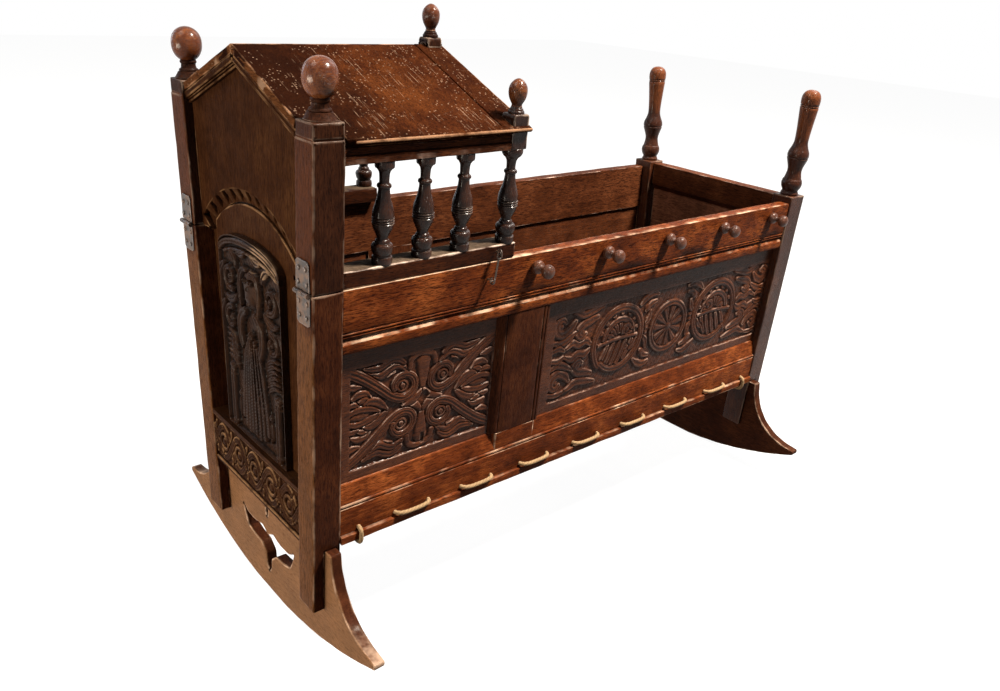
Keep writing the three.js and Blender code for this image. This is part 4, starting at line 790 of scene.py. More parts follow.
edge_out = [ROCKER_FLAT + (ROCKER_REACH - ROCKER_FLAT) * i / 6 for i in range(7)]
tip_high = rise(ROCKER_REACH) + HORN_NOSE
rocker_half = [(ROCKER_FLAT, 0), *[(out, rise(out)) for out in edge_out[1:]],
               *[(HORN_SHOULDER + (ROCKER_REACH - HORN_SHOULDER) * out,
                  tip_high + (ROCKER_TOP - tip_high) * up) for out, up in HORN]]
rocker_outline = rocker_half + [(-u, v) for u, v in reversed(rocker_half)]
rocker_at = TINE + GAP


def scuffed_nose(shape):
    """Marks the head face as paler, a painted light for the light it catches, and the horns' noses
    as rubbed pale.
    """
    x, y, z = shape.points.T
    shape.pale = np.clip(1.3 - (x - rocker_at) / 2, 0, 1)
    shape.worn = np.maximum(shape.worn, 0.9 * np.clip((95 - z) / 25, 0, 1) * (np.abs(y) > 190)
                            * (x > rocker_at + 1.2))
    return shape


make("oak_rocker_head", scuffed_nose(
     slab(rocker_outline, rocker_at, rocker_at + ROCKER_THICK, along_x,
          holes=[mirrored(PIERCING), SLIT], soft=2.5, edge=1.5, step=20, sway=0.3, seed=21)),
     "cradle", oak("dark", "y", 0.46, figure=0.2, edge_paling=0.8, light_or_wear_tone=(0.13, 0.064, 0.031)),
     "rocker_head")
make("oak_rocker_foot",
     slab(rocker_outline, LENGTH - rocker_at - ROCKER_THICK, LENGTH - rocker_at, along_x,
          soft=2.5, edge=1.5, step=20, sway=0.3, seed=22),
     "cradle", oak("dark", "y"), "rocker_foot")

# Side frames.

TOP_RAIL = [
    (2, 508), (2, 456.5), (2.9, 455.9), (2.9, 455), (2, 454.4), (1.9, 453), (2.5, 452),
    (3.5, 451.6), (3.5, 450.8), (2.6, 450.2), (2.5, 449), (3.4, 448.2), (5.8, 447.6),
    (5.9, 446.8), (4.9, 444.6), (3.1, 442.2), (1.9, 440.4), (1.5, 438.6), (1.8, 431),
    (2.4, 429), (3.6, 428), (21, 428), (21, 508),
]
LOW_RAIL = [
    (-2.5, 165), (28, 165), (28, 256), (20.4, 256), (20.4, 247.2), (11.4, 247.2), (9.9, 245.8),
    (4.4, 222), (4.2, 220.8), (2.6, 220.4), (1.9, 219), (2, 217.4), (3.3, 216.6), (3.3, 215.6),
    (2.1, 214.8), (2, 177), (1.2, 176.2), (-2, 176), (-2.5, 175.4),
]
RAIL_FOOT = 165
PANEL_LOW, PANEL_TOP = 247.5, 427.7
ROPE_FIRST, ROPE_STEP, ROPE_HOLES, ROPE_HIGH = 65, 54.5, 16, 182
KNOB_FIRST, KNOB_STEP, KNOBS = 325, 133.9, 5
rail_from, rail_to = POST + GAP, LENGTH - POST - GAP
for side in sides:
    rail = slab(TOP_RAIL, rail_from, rail_to, side.along_x, soft=0.5, edge=0.6, step=18,
                sway=0.3, seed=31, guard=1.2)
    x, high = rail.points[:, 0], rail.points[:, 2]
    outer = np.abs(rail.points[:, 1]) > across(9, high)
    # A painted highlight along the moulding under the beads, strongest at the head end.
    rail.worn = np.maximum(rail.worn, np.where(outer & (high > 440.6) & (high < 447.4),
                                               np.interp(x, [38, 300, 912], [1, 0.7, 0.5]), 0))
    # A painted highlight along the near rail's top outer edge, strongest towards the head end.
    rail.worn = np.maximum(rail.worn * 0.8, np.where(
        high > 507, (np.interp(x, [200, 420], [1, 0.6]) * outer if side is near else 0.2), 0))
    # The far rail takes a darker tone than the near one: painted shade for its face inside the
    # cradle.
    make(f"oak_top_rail_{side.name}", rail, "cradle",
         oak("red" if side is near else "panel", "x", figure=0.9),
         f"top_rail_{side.name}", crease=50)
    rail = slab(LOW_RAIL, rail_from, rail_to, side.along_x, soft=0.5, edge=0.6, step=18,
                sway=0.3, seed=32, guard=1.2)
    x, high = rail.points[:, 0], rail.points[:, 2]
    outer = np.abs(rail.points[:, 1]) > across(6, high)
    # Pale lines along the beads and the bottom ledge: partly wear, partly a painted highlight.
    rail.worn = np.maximum(rail.worn, np.where(
        outer & (np.abs(high - 219) < 1.7) | outer & (np.abs(high - 214.8) < 0.7)
        | outer & (np.abs(high - 176) < 1), 0.5, 0))
    stop = slab([(282.5, 11.6), (286, 3.6), (359, 3.6), (363, 11.6)], 221.5, 247.3,
                side.level, soft=2, edge=0.5, seed=34,
                guard=0.5)
    make(f"oak_low_rail_{side.name}", [rail, stop], "cradle", oak("red", "x"),
         f"low_rail_{side.name}", crease=50)
    stile = [(276, 12), (279, 7.4), (283, 4.8), (287.4, 3.7), (288.4, 4.4), (289.4, 3.5),
             (352.6, 3.5), (353.6, 4.8), (354.6, 3.5), (358.4, 3.5), (359.4, 4.8), (360.4, 3.7),
             (364, 4.2), (366, 6.6), (366, 20.5), (276, 20.5)]
    piece = slab(stile, PANEL_LOW, PANEL_TOP,
                 side.level, soft=0.6, edge=0.4, seed=33,
                 guard=1.2)
    make(f"oak_muntin_{side.name}", piece, "cradle", oak("dark", "z", 0.42),
         f"muntin_{side.name}")
    for i in range(KNOBS):
        x = KNOB_FIRST + KNOB_STEP * i
        up = side.up(2, 490.5)
        piece = turned(KNOB, lambda u, v, h, side=side, x=x, up=up:
                       side.square(x + u, 1.7 - h, up + v), 28, seed=40 + i)
        make(f"oak_knob_{side.name}_{i + 1}", piece, "cradle",
             oak("panel", "x", 0.34, 0.3, shine=0.7), f"knob_{side.name}_{i + 1}")

# Carving.


class Carving:
    """A height map over a board's face, built up from strokes on a lowered ground."""

    def __init__(self, u, v, ground):
        self.u, self.v = u, v
        self.ground = float(ground)
        self.height = np.full(u.shape, self.ground)

    def stroke(self, path, wide, tall, groove=0.0, vein=0.27, blunt=4, moat=0.3, cut=False,
               lines=()):
        """A raised ribbon round a path. At the share e of its half width its height is tall times
        the root of 1 - e^blunt, less a groove along its middle, and its sides are cut down to
        near the ground on both sides. Lines are narrow grooves at shares of the half width.
        A cut stroke is a hollow of that form instead."""
        path = np.asarray(path, float)
        reach = float(np.max(wide)) * 1.4 + 1
        low, high = path.min(0) - reach, path.max(0) + reach
        inside = ((self.u > low[0]) & (self.u < high[0]) & (self.v > low[1])
                  & (self.v < high[1]))
        if not inside.any():
            return
        at = np.stack([self.u[inside], self.v[inside]], 1)
        gap = np.linalg.norm(at[:, None] - path[None], axis=2)
        nearest = gap.argmin(1)
        gap = gap[np.arange(len(at)), nearest]
        wide = np.atleast_1d(wide)
        width = np.maximum(np.interp(nearest / (len(path) - 1), np.linspace(0, 1, len(wide)),
                                     wide), 0.05)
        off = gap / width
        form = np.sqrt(np.clip(1 - off ** blunt, 0, 1))
        level = self.height[inside]
        if cut:
            self.height[inside] = level - tall * form
            return
        form = form - groove * np.exp(-(off / vein) ** 2)
        for share in lines:
            form = form - 0.32 * np.exp(-((off - share) * width / 0.75) ** 2)
        beside = (gap >= width) & (gap < width + moat * 3)
        level = np.where(beside, np.minimum(level, self.ground + 0.3 * tall), level)
        self.height[inside] = np.where(off < 1, np.maximum(level * (moat == 0) - 99 * (moat > 0),
                                                           self.ground + tall * form), level)

    def leaf(self, start, tip, bow, wide, tall, groove=0.4, moat=0.0):
        """A leaf: a bowed spine that swells and comes to a point, with a vein."""
        start, tip = np.asarray(start, float), np.asarray(tip, float)
        way = np.linspace(0, 1, 26)[:, None]
        across_way = np.array([start[1] - tip[1], tip[0] - start[0]])
        path = start + (tip - start) * way + across_way * bow * 4 * way * (1 - way)
        self.stroke(path, wide * np.sin(np.pi * np.linspace(0.12, 1, 26) ** 0.8) + 0.3, tall,
                    groove, 0.22, 2.4, moat)

    def dome(self, centre, radius, tall, squash=(1, 1), round_=0.5):
        """A boss: a rounded mound on an ellipse."""
        far_off = np.hypot((self.u - centre[0]) / squash[0], (self.v - centre[1]) / squash[1])
        inside = far_off < radius
        top = self.ground + tall * np.clip(1 - (far_off / radius) ** 2, 0, 1) ** round_
        self.height = np.where(inside, np.maximum(self.height, top), self.height)


def spiral(centre, from_radius, to_radius, from_deg, to_deg, count=40):
    """Points on an arc whose radius changes evenly with its angle."""
    angle = np.radians(np.linspace(from_deg, to_deg, count))
    radius = np.linspace(from_radius, to_radius, count)
    return np.stack([centre[0] + radius * np.cos(angle), centre[1] + radius * np.sin(angle)], 1)


def bezier(a, b, c, d, count=30):
    t = np.linspace(0, 1, count)[:, None]
    a, b, c, d = (np.asarray(p, float) for p in (a, b, c, d))
    return (1 - t) ** 3 * a + 3 * t * (1 - t) ** 2 * b + 3 * t ** 2 * (1 - t) * c + t ** 3 * d


def through(points, step=0.8):
    """Points joined by a smooth curve, a Catmull-Rom one, and set evenly along it."""
    points = np.asarray(points, float)
    wide = np.concatenate([2 * points[:1] - points[1:2], points,
                           2 * points[-1:] - points[-2:-1]])
    a, b, c, d = (wide[i:len(wide) - 3 + i, None] for i in range(4))
    share = (np.arange(8) / 8)[:, None]
    curve = 0.5 * (2 * b + (c - a) * share + (2 * a - 5 * b + 4 * c - d) * share ** 2
                   + (3 * b - a - 3 * c + d) * share ** 3)
    curve = np.concatenate([curve.reshape(-1, 2), points[-1:]])
    along = np.concatenate([[0], np.cumsum(np.linalg.norm(np.diff(curve, axis=0), axis=1))])
    even = np.linspace(0, along[-1], max(int(along[-1] / step), 5))
    return np.stack([np.interp(even, along, curve[:, i]) for i in range(2)], 1)


def field(wide, tall, step, ground):
    """A grid over a board, with the carving's ground level."""
    u, v = np.meshgrid(np.linspace(-wide / 2, wide / 2, int(wide / step) + 1),
                       np.linspace(-tall / 2, tall / 2, int(tall / step) + 1))
    return Carving(u, v, ground)


def frame_border(carving, half_u, half_v, centre, seed):
    """Raises everything outside the carved field to the board's face, with a chopped edge."""
    place3 = np.stack([carving.u, carving.v, 0 * carving.u], -1)
    chop = 0.5 * ripple(place3, 9, seed)
    outside = np.maximum(np.abs(carving.u - centre[0]) - half_u,
                         np.abs(carving.v - centre[1]) - half_v) + chop
    wall = np.clip(outside / 1.4 + 0.5, 0, 1)
    carving.height = np.maximum(carving.height, carving.ground * (1 - wall))


def finish_carving(carving, seed, rounds=10):
    """Adds tool marks on the ground, and works out pale tops, partly wear and partly a painted
    highlight, and dark hollows, partly dirt and partly painted shade, from how each point lies
    against the mean height around it; faces that look up are made paler still, a painted light
    from above."""
    place3 = np.stack([carving.u, carving.v, 0 * carving.u], -1)
    low = np.clip((carving.height - carving.ground) / -min(carving.ground, -1), 0, 1)
    carving.height = carving.height + (1 - low) * 0.35 * ripple(place3, 7, seed) \
        + 0.1 * ripple(place3, 14, seed + 1) + 0.07 * ripple(place3, 5, seed + 2)
    mean = carving.height.copy()
    for _ in range(rounds):
        padded = np.pad(mean, 1, mode="edge")
        mean = (padded[:-2, 1:-1] + padded[2:, 1:-1] + padded[1:-1, :-2]
                + padded[1:-1, 2:] + padded[1:-1, 1:-1]) / 5
    over = carving.height - mean
    rise_v = np.gradient(carving.height, axis=0) / np.maximum(np.gradient(carving.v, axis=0), 0.1)
    # Faces that look up are made paler and less dark: a painted light from above.
    lit_from_above = np.clip(-rise_v * 0.8 - 0.2, 0, 1) * np.clip(0.6 + over, 0, 1)
    return (np.clip(over * 1.0 - 0.15 + 0.8 * lit_from_above, 0, 1),
            np.clip(-over * 0.6 + (1 - low) * 0.1 - 0.3 * lit_from_above, 0, 1))


def four_scrolls():
    """The square panel: four ribbons from its corners that curl in pairs round eyes, a bud between
    petals at each side, waved leaves at top and bottom, and a stem with flared ends."""
    carving = field(237.4, 180.2, 0.8, -2.9)
    middle = np.array((5, -3.6))

    def draw(points, wide, tall, groove=0.5, **more):
        carving.stroke(through(points) + middle, wide, tall, groove, **more)

    for su in (-1, 1):
        for sv in (-1, 1):
            flip = lambda points, su=su, sv=sv: np.asarray(points, float) * (-su, sv)
            for points, wide in [
                    ([(-110, 45), (-100, 42), (-92, 42)], [3.4, 5, 2]),
                    ([(-103, 27), (-95, 31), (-85, 30), (-78, 24)], [2.6, 5, 5, 2.6]),
                    ([(-96, 19), (-87, 22), (-79, 18), (-72, 12)], [2, 4.6, 4.6, 2]),
                    ([(-108, 18), (-101, 19), (-94, 15)], [3, 4, 2]),
                    ([(-88, 13), (-78, 17), (-68, 14), (-59, 7), (-53, 1)],
                     [2.6, 5.6, 6.4, 5, 2]),
                    ([(-108, 7), (-97, 10), (-85, 9), (-74, 6), (-64, 1)],
                     [3.4, 4.4, 4.6, 4, 1.8])]:
                draw(flip(points), np.array(wide) * 1.12, 2.9, 0.2, moat=0.2, blunt=4)
            for points, wide in [
                    ([(-72, 46), (-62, 47), (-53, 49), (-44, 50)], [1.4, 3.6, 4, 2]),
                    ([(-91, 55), (-81, 56), (-71, 51), (-62, 49), (-52, 55), (-42, 58),
                      (-33, 55), (-26, 48)], [2, 4.4, 5, 5.2, 5.2, 5, 4.6, 3]),
                    ([(-87, 64), (-76, 61), (-65, 60), (-56, 64), (-47, 67), (-38, 65),
                      (-30, 59)], [2, 4, 4.4, 4.8, 4.8, 4.4, 3])]:
                draw(flip(points), np.array(wide) * 1.12, 2.9, 0.0, moat=0.25, blunt=4,
                     lines=(0,))
            ribbon = [(-113, 66), (-98, 58), (-81, 46), (-63, 31), (-47, 17), (-31, 10),
                      (-18, 13.5), (-12, 24), (-15, 35), (-25, 42), (-37, 41), (-44, 33),
                      (-43, 25)]
            draw(flip(ribbon), [7.4, 7.6, 7.4, 7, 6.6, 6, 5.4, 5, 4], 3.1, 0.0, blunt=8,
                 moat=0.3, lines=(0.08, 0.62))
            carving.dome(flip([(-31, 27)])[0] + middle, 9.4, 2.6, round_=0.25)
            draw(spiral(flip([(-31, 27)])[0], 5, 4.4, 0, 360, 40), 1.1, 2.4, cut=True)
        carving.dome(np.array((92 * su, 0)) + middle, 15, 2.8, (1, 0.36))
    for sv in (-1, 1):
        draw([(0, 13 * sv), (0, 28 * sv), (0, 42 * sv), (0, 54 * sv)],
             [3, 6.6, 9, 10], 2.6, 0.0, moat=0, blunt=5)
        draw([(-21, 50 * sv), (-19, 60 * sv), (-10, 66 * sv), (3, 66 * sv), (14, 61 * sv),
              (18, 50 * sv)], 4.4, 2.9, 0, moat=0.25, blunt=4)
        for hand in (-1, 1):
            draw([(30 * hand, -1 * sv), (18 * hand, 1 * sv), (9 * hand, 6 * sv),
                  (2 * hand, 14 * sv)], [2, 5, 5.4, 3], 3.0, 0, moat=0.25, blunt=4)
        carving.dome(np.array((0, 54 * sv)) + middle, 11, 2.7, (1, 0.8), 0.3)
    draw([(4, 9), (7, 5)], 4.2, 3.2, cut=True)
    draw([(3, -52), (3, -62)], 3, 3.0, cut=True)
    frame_border(carving, 109, 70, (8, -6.6), 51)
    return carving


def wheel_and_scrolls():
    """The long panel: a wheel of spokes in the middle, a scroll round a half wheel on each side
    of it, and curls, berries and leaves that fill the corners."""
    carving = field(545.4, 180.2, 1.1, -2.9)
    middle = np.array((9, -6.6))
    hub = middle + (0, 1)
    for k in range(11):
        angle = 2 * math.pi * k / 11 + 0.2
        way = np.array([math.cos(angle), math.sin(angle)])
        carving.stroke(hub + way * np.linspace(6, 37.5, 40)[:, None], [2.2, 4.4, 7.4], 2.6, 0.35,
                       vein=0.3, blunt=2.4, moat=0.2)
    carving.stroke(spiral(hub, 41, 41, 0, 360, 300), 5.6, 3.0, 0, moat=0.4, blunt=6,
                   lines=(0.1,))
    carving.dome(hub, 8, 3.0)
    for su in (-1, 1):
        turn = np.array([-su, 1])
        centre = middle + (118 * su, 6)

        def draw(points, wide, tall, groove=0.5, curve=True, **more):
            path = through(points) if curve else np.asarray(points, float)
            carving.stroke(path * turn + centre, wide, tall, groove, **more)

        for high in (1, -1):
            for points, wide in [
                    ([(-60, 2 * high), (-74, 11 * high), (-88, 8 * high), (-100, 13 * high),
                      (-114, 7 * high)], [3, 6.4, 7, 6, 3]),
                    ([(-54, 46 * high), (-70, 42 * high), (-86, 37 * high), (-93, 27 * high),
                      (-85, 19 * high), (-76, 24 * high)], [4, 7, 7.2, 6.4, 5.4, 3.6]),
                    ([(-44, 62 * high), (-66, 58 * high), (-84, 55 * high), (-98, 61 * high),
                      (-108, 64 * high)], [3, 6, 6.6, 6, 3]),
                    ([(-101, 48 * high), (-110, 38 * high), (-124, 32 * high),
                      (-136, 38 * high), (-137, 50 * high), (-128, 56 * high),
                      (-120, 50 * high)], [4, 7, 7.4, 7, 6.4, 5, 3.4]),
                    ([(-98, 30 * high), (-112, 22 * high), (-126, 17 * high),
                      (-140, 21 * high)], [3, 6, 6.4, 3.4]),
                    ([(-118, 5 * high), (-128, 10 * high), (-140, 8 * high)], [3, 5.4, 4]),
                    ([(-110, 65 * high), (-124, 67 * high), (-140, 64 * high)], [3, 4.4, 4]),
                    ([(42, 47 * high), (52, 55 * high), (66, 61 * high), (80, 58 * high)],
                     [3, 6.4, 6.4, 3]),
                    ([(56, 34 * high), (66, 44 * high), (78, 47 * high)], [3, 5.6, 3]),
                    ([(57, 9 * high), (65, 19 * high), (67, 31 * high)], [3, 6, 3])]:
                draw(points, np.array(wide) * 1.12, 2.8, 0, moat=0.2, blunt=5, lines=(0.15,))
            carving.dome(np.array((60, 38 * high)) * turn + centre, 7.4, 3.0)
            carving.dome(np.array((62, 4 * high)) * turn + centre, 5, 2.8)
            carving.dome(np.array((-128, 45 * high)) * turn + centre, 5, 2.8)
            carving.dome(np.array((-83, 28 * high)) * turn + centre, 4.6, 2.8)
        for deg in range(16, 180, 24):
            way = np.array([math.cos(math.radians(deg)), math.sin(math.radians(deg))])
            draw([way * 12 + (0, -2), way * 20 + (0, -2), way * 28 + (0, -2)], [3.4, 6.4, 4], 2.6,
                 0.35, moat=0.2, blunt=3)
            draw([way * 37, way * 42, way * 48], [2.4, 4.6, 6], 2.5, 0.2, moat=0.2, blunt=3)
        for k in range(6):
            start = -34 + 13.5 * k
            drop = math.sqrt(max(46 ** 2 - (start + 6) ** 2, 60)) * 0.88
            draw([(start + 11, -8), (start + 3, -9 - drop * 0.5), (start - 4, -4 - drop)],
                 [3.8, 6, 4.6], 2.6, 0.3, moat=0.2, blunt=4)
        inner = spiral((0, -1), 33, 31, 176, -24, 160)
        draw(inner, [5.4, 5.4, 5], 2.9, 0.3, curve=False, moat=0.25, blunt=5)
        curl = spiral((17, 11), 12, 7, -40, -330, 90)
        draw(curl, [4.8, 4.2, 3.2], 2.9, 0.2, curve=False, moat=0.25, blunt=4)
        carving.dome(np.array((17, 11)) * turn + centre, 5, 2.8)
        draw([(-48, -5), (0, -1), (46, -3)], 3.6, 3.0, 0, moat=0.3, blunt=4)
        ribbon = spiral((0, -3), 55, 49, 222, -136, 400)
        draw(ribbon, [6, 7, 7, 6.6, 5.6], 3.0, 0, curve=False, moat=0.35, blunt=7,
             lines=(0.1, 0.7))
    frame_border(carving, 259, 69, middle, 52)
    return carving


PANEL_FACE, PANEL_THICK = 12, 4.6
LINING = 0.4
for side in sides:
    lining = [slab([(start, 256.6), (stop, 256.6), (stop, 427.4), (start, 427.4)],
                   PANEL_FACE + PANEL_THICK, PANEL_FACE + PANEL_THICK + LINING,
                   side.along_depth, soft=0.1, edge=0.1, guard=0.05, sway=0, step=12)
              for start, stop in ((38.6, 275.4), (366.6, 911.4))]
    make(f"oak_lining_{side.name}", lining, "cradle", oak("inner", "x", 0.5, 0, figure=0.3))
for name, design, centre_x in (("head", four_scrolls(), 157), ("foot", wheel_and_scrolls(), 639)):
    worn, sunk = finish_carving(design, 61)
    for side in sides:
        def panel_place(u, v, h, side=side, centre_x=centre_x):
            return side.level(centre_x + u, PANEL_FACE - h, (PANEL_LOW + PANEL_TOP) / 2 + v)

        shape = carved(design.u, design.v, design.height, PANEL_THICK, panel_place, worn, sunk)
        make(f"carved_{name}_panel_{side.name}", shape, "cradle",
             oak("panel", "x", 0.3, 0.32, edge_paling=0.4, shine=0.2),
             f"{name}_side_panel_{side.name}", crease=60)

# Foot end.


def between(a, b, t, cut=POST, room=GAP):
    """A board from side to side whose ends follow the posts: outline (x, z), t from -1 to 1."""
    end = across(cut, b) - room
    return np.stack([a, t / 100 * end, b], -1)


FOOT_RAIL = [(922, 516), (922, 476), (923, 475), (929.2, 467), (931, 466), (931, 475),
             (944, 475), (944, 516)]
make("oak_foot_top_rail", slab(FOOT_RAIL, -100, 100, between, soft=1.0, seed=71, step=10,
                               guard=1.5), "cradle",
     oak("panel", "y", edge_paling=0.5), "foot_top_rail")
make("oak_foot_low_rail", slab([(922, 165), (944, 165), (944, 256), (922, 256)], -100, 100,
                               between, seed=72, step=10), "cradle",
     oak("inner", "y"), "foot_low_rail")
make("oak_foot_panel", slab([(930, 256.3), (938, 256.3), (938, 474.7), (930, 474.7)],
                            -100, 100, between, seed=73, step=10, edge=0.5, soft=0.5),
     "cradle", oak("inside", "y"), "foot_panel")

# Head end.

ARCH_CENTRE, ARCH_RADIUS, ARCH_WIDE, BOARD_WIDE = 400, 165, 110, 108.5
board_radius = ARCH_RADIUS - (ARCH_WIDE - BOARD_WIDE)


def arch(radius, half, count=15):
    """Points of an arch from its right spring over the top to its left one."""
    angle = math.acos(half / radius)
    turn = np.linspace(angle, math.pi - angle, count)
    return [(radius * math.cos(a), ARCH_CENTRE + radius * math.sin(a)) for a in turn]


arch_board = slab([(-BOARD_WIDE, 242.3), (BOARD_WIDE, 242.3), *arch(board_radius, BOARD_WIDE)],
                  17, 26.6, along_x, seed=81, edge=1.4)
back_board = slab([(-across(POST, 242) + GAP, 242.3), (across(POST, 242) - GAP, 242.3),
                   (across(POST, 508) - GAP, 508), (-across(POST, 508) + GAP, 508)],
                  25.6, 33.5, along_x, seed=82, edge=0.6)
make("oak_head_panel", [arch_board, back_board], "cradle",
     oak("end", "z", 0.5, 0.0, shine=0.04),
     "head_panel")


def relief():
    """The sculpted board: a draped standing figure between leaf scrolls under an arched band,
    over two small posts, on a lowered ground."""
    wide, low, shoulder, top = 84.0, 242.4, 496.0, 523.0
    count_u, count_v = 161, 241
    u = np.linspace(-wide, wide, count_u)
    crown = shoulder + (top - shoulder) * np.sqrt(np.clip(1 - (u / wide) ** 2, 0, 1)) ** 0.9
    v = np.linspace(0, 1, count_v)[:, None] * (crown - low)[None] + low
    u = np.broadcast_to(u, v.shape).copy()
    carving = Carving(u, v, -6.0)
    band = np.stack([np.linspace(-82, 82, 60), 0 * np.linspace(-82, 82, 60)], 1)
    band[:, 1] = shoulder - 6 + (top - shoulder) * np.sqrt(1 - (band[:, 0] / wide) ** 2) - 1.5
    carving.stroke(band, 4.6, 6.4, 0.35, 0.35)
    band[:, 1] -= 11
    carving.stroke(band[4:-4], 2.6, 4.2, 0, 0.5)
    carving.dome((0, 462), 21, 6.6, (1, 1.18), 0.6)
    carving.dome((0, 452), 14.5, 8.0, (1, 1.25), 0.6)
    for su in (-1, 1):
        carving.stroke(bezier((6 * su, 484), (26 * su, 488), (30 * su, 456), (22 * su, 428)),
                       [3, 5.5, 5, 3], 6.8, 0.3)
        carving.stroke(bezier((14 * su, 428), (34 * su, 420), (36 * su, 390), (18 * su, 372)),
                       [6, 8, 7, 5], 7.2, 0.25)
        carving.stroke(bezier((18 * su, 372), (4 * su, 366), (0, 380), (2 * su, 392)),
                       [5, 4.5, 4, 3.4], 7.8, 0.2)
        for k, (x, foot) in enumerate([(4, 262), (13, 258), (22, 262), (31, 272)]):
            carving.stroke(bezier((0.6 * x * su, 400 - 8 * k), (0.8 * x * su, 350),
                                  (1.1 * x * su, 310), (x * su * 1.15, foot)),
                           [3, 4.4, 5.2, 5.6], 7.2 - 0.7 * k, 0.2)
        curl = spiral((56 * su, 462), 17, 6, 90 - 200 * su, 90 + 170 * su, 44)
        carving.stroke(curl, np.linspace(5, 3, 44), 6.2, 0.4)
        carving.dome((56 * su, 462), 4.6, 6)
        curl = spiral((57 * su, 405), 16, 6, -90 + 190 * su, -90 - 150 * su, 44)
        carving.stroke(curl, np.linspace(5, 3, 44), 6.2, 0.4)
        carving.dome((57 * su, 405), 4.4, 6)
        for k in range(6):
            high = 380 - 7.6 * k
            carving.leaf((42 * su, high - 6), (76 * su, high + 5), 0.16 * su, 3.6, 6.2 - 0.2 * k)
        for start, tip, bow, w in [((36, 480), (62, 497), 0.2, 6), ((72, 476), (82, 450), 0.2, 5),
                                   ((40, 440), (78, 436), -0.2, 6), ((74, 424), (82, 396), 0.2, 5),
                                   ((30, 500), (6, 508), 0.15, 5)]:
            carving.leaf(np.array(start) * (su, 1), np.array(tip) * (su, 1), bow * su, w, 6.0)
        post = np.array([(64 * su, 248), (64 * su, 326)], float)
        carving.stroke(np.linspace(post[0], post[1], 40), 7.4, 6.0, 0.3, 0.3)
        carving.dome((64 * su, 334), 9.6, 6.6, (1, 0.5))
        carving.dome((64 * su, 322), 9.0, 6.6, (1, 0.32))
        carving.dome((64 * su, 252), 9.6, 6.6, (1, 0.5))
        carving.dome((44 * su, 300), 5.4, 5.4)
        carving.leaf((44 * su, 292), (42 * su, 262), 0.1 * su, 5, 5.2)
        carving.dome((7.5 * su, 468), 3.4, 8.6, (1.5, 0.8))
        carving.stroke(bezier((3 * su, 471), (6 * su, 473.4), (9 * su, 473), (12 * su, 470)),
                       1.4, 8.2, 0, 0.5)
    carving.dome((0, 461), 3.2, 9.6, (0.8, 1.8))
    carving.dome((0, 450.5), 3.4, 9.2, (1.4, 0.5))
    carving.dome((0, 441), 4.6, 8.6, (1.2, 0.8))
    carving.dome((0, 356), 6.2, 8)
    edge = np.minimum(np.minimum(wide - np.abs(u), crown[None] - v), v - low)
    rim = np.clip(1.6 - edge / 2.2, 0, 1)
    carving.height = np.maximum(carving.height, -6 + 5.4 * rim)
    worn, sunk = finish_carving(carving, 66)
    # The near half of the arched band keeps strong pale tops, a painted highlight; elsewhere they
    # are weakened.
    right = np.clip((-carving.u + 10) / 40, 0, 1) * (carving.v > 486)
    worn = np.clip(worn * (0.35 + 0.9 * right), 0, 1)
    # Hollows darkened more strongly: dirt and painted shade.
    return carved(carving.u, carving.v, carving.height, 10,
                  lambda a, b, h: np.stack([6.7 - h, a, b], -1), worn, np.clip(sunk * 1.5, 0, 1))


make("carved_relief_board", relief(), "cradle",
     oak("relief", "z", 0.36, 0.2, shine=0.12), "relief_board", crease=60)


def chain():
    """The lower rail: two waved ribbons that cross between rings, with a boss in each ring."""
    low, top, pitch = 163.4, 242.0, 48.0
    half = float(across(POST, 200)) - GAP
    columns, rows = 321, 93
    share = np.linspace(-1, 1, columns)
    v = np.broadcast_to(np.linspace(low, top, rows)[:, None], (rows, columns)).copy()
    u = share[None] * (across(POST, v) - GAP)
    carving = Carving(u, v, -3.6)
    centre, swing = 202.0, 24.0
    y = np.linspace(-half - 20, half + 20, 420)
    phase = np.pi * (y + pitch / 2) / pitch
    for sign in (1, -1):
        z = centre + sign * swing * np.sin(phase)
        over = 3.4 + 0.5 * sign * np.cos(phase)
        path = np.stack([y, z], 1)
        for piece in range(0, 420, 60):
            carving.stroke(path[piece:piece + 62], 5.6, float(over[piece:piece + 62].mean()),
                           lines=(0.3,), blunt=4, moat=0.35)
    for k in range(-2, 3):
        middle = k * pitch
        carving.stroke(spiral((middle, centre), 11.6, 11.6, 0, 360, 150), 2.6, 3.2, blunt=3,
                       moat=0.2)
        carving.dome((middle, centre), 6, 3.4)
        for su in (-1, 1):
            carving.leaf((middle + pitch / 2, centre + su * 16), (middle + pitch / 2,
                         centre + su * 27), 0.0, 3.4, 3.0, 0.2)
    edge = np.clip((v - 233.5) / 1.2, 0, 1) + np.clip((168.5 - v) / 1.2, 0, 1)
    carving.height = np.maximum(carving.height, -3.6 + 3.6 * np.clip(edge, 0, 1))
    worn, sunk = finish_carving(carving, 67)
    return carved(u, v, carving.height, 32.8, lambda a, b, h: np.stack([1.2 - h, a, b], -1),
                  worn, sunk)


make("carved_chain_rail", chain(), "cradle", oak("end", "y", 0.5, 0.0, edge_paling=1.2),
     "chain_rail", crease=60)

# The hood's gable.


def roof_under(out):
    return RIDGE - out * PITCH - 10


gable_end = lambda z: across(POST, z) - GAP
SPLAY = 17.0
shoulder = roof_under(gable_end(HOOD_POST_TOP)) - GAP


def gable_layer(radius, half, x0, x1, seed):
    top = [(gable_end(shoulder), shoulder), (0, roof_under(0) - GAP),
           (-gable_end(shoulder), shoulder)]
    outline = [(gable_end(SPLIT), SPLIT + GAP), *top, (-gable_end(SPLIT), SPLIT + GAP),
               (-ARCH_WIDE, SPLIT + GAP), *reversed(arch(radius, half)),
               (ARCH_WIDE, SPLIT + GAP)]
    return slab(outline, x0, x1, along_x, soft=0.8, edge=0.7, seed=seed, sway=0.2)


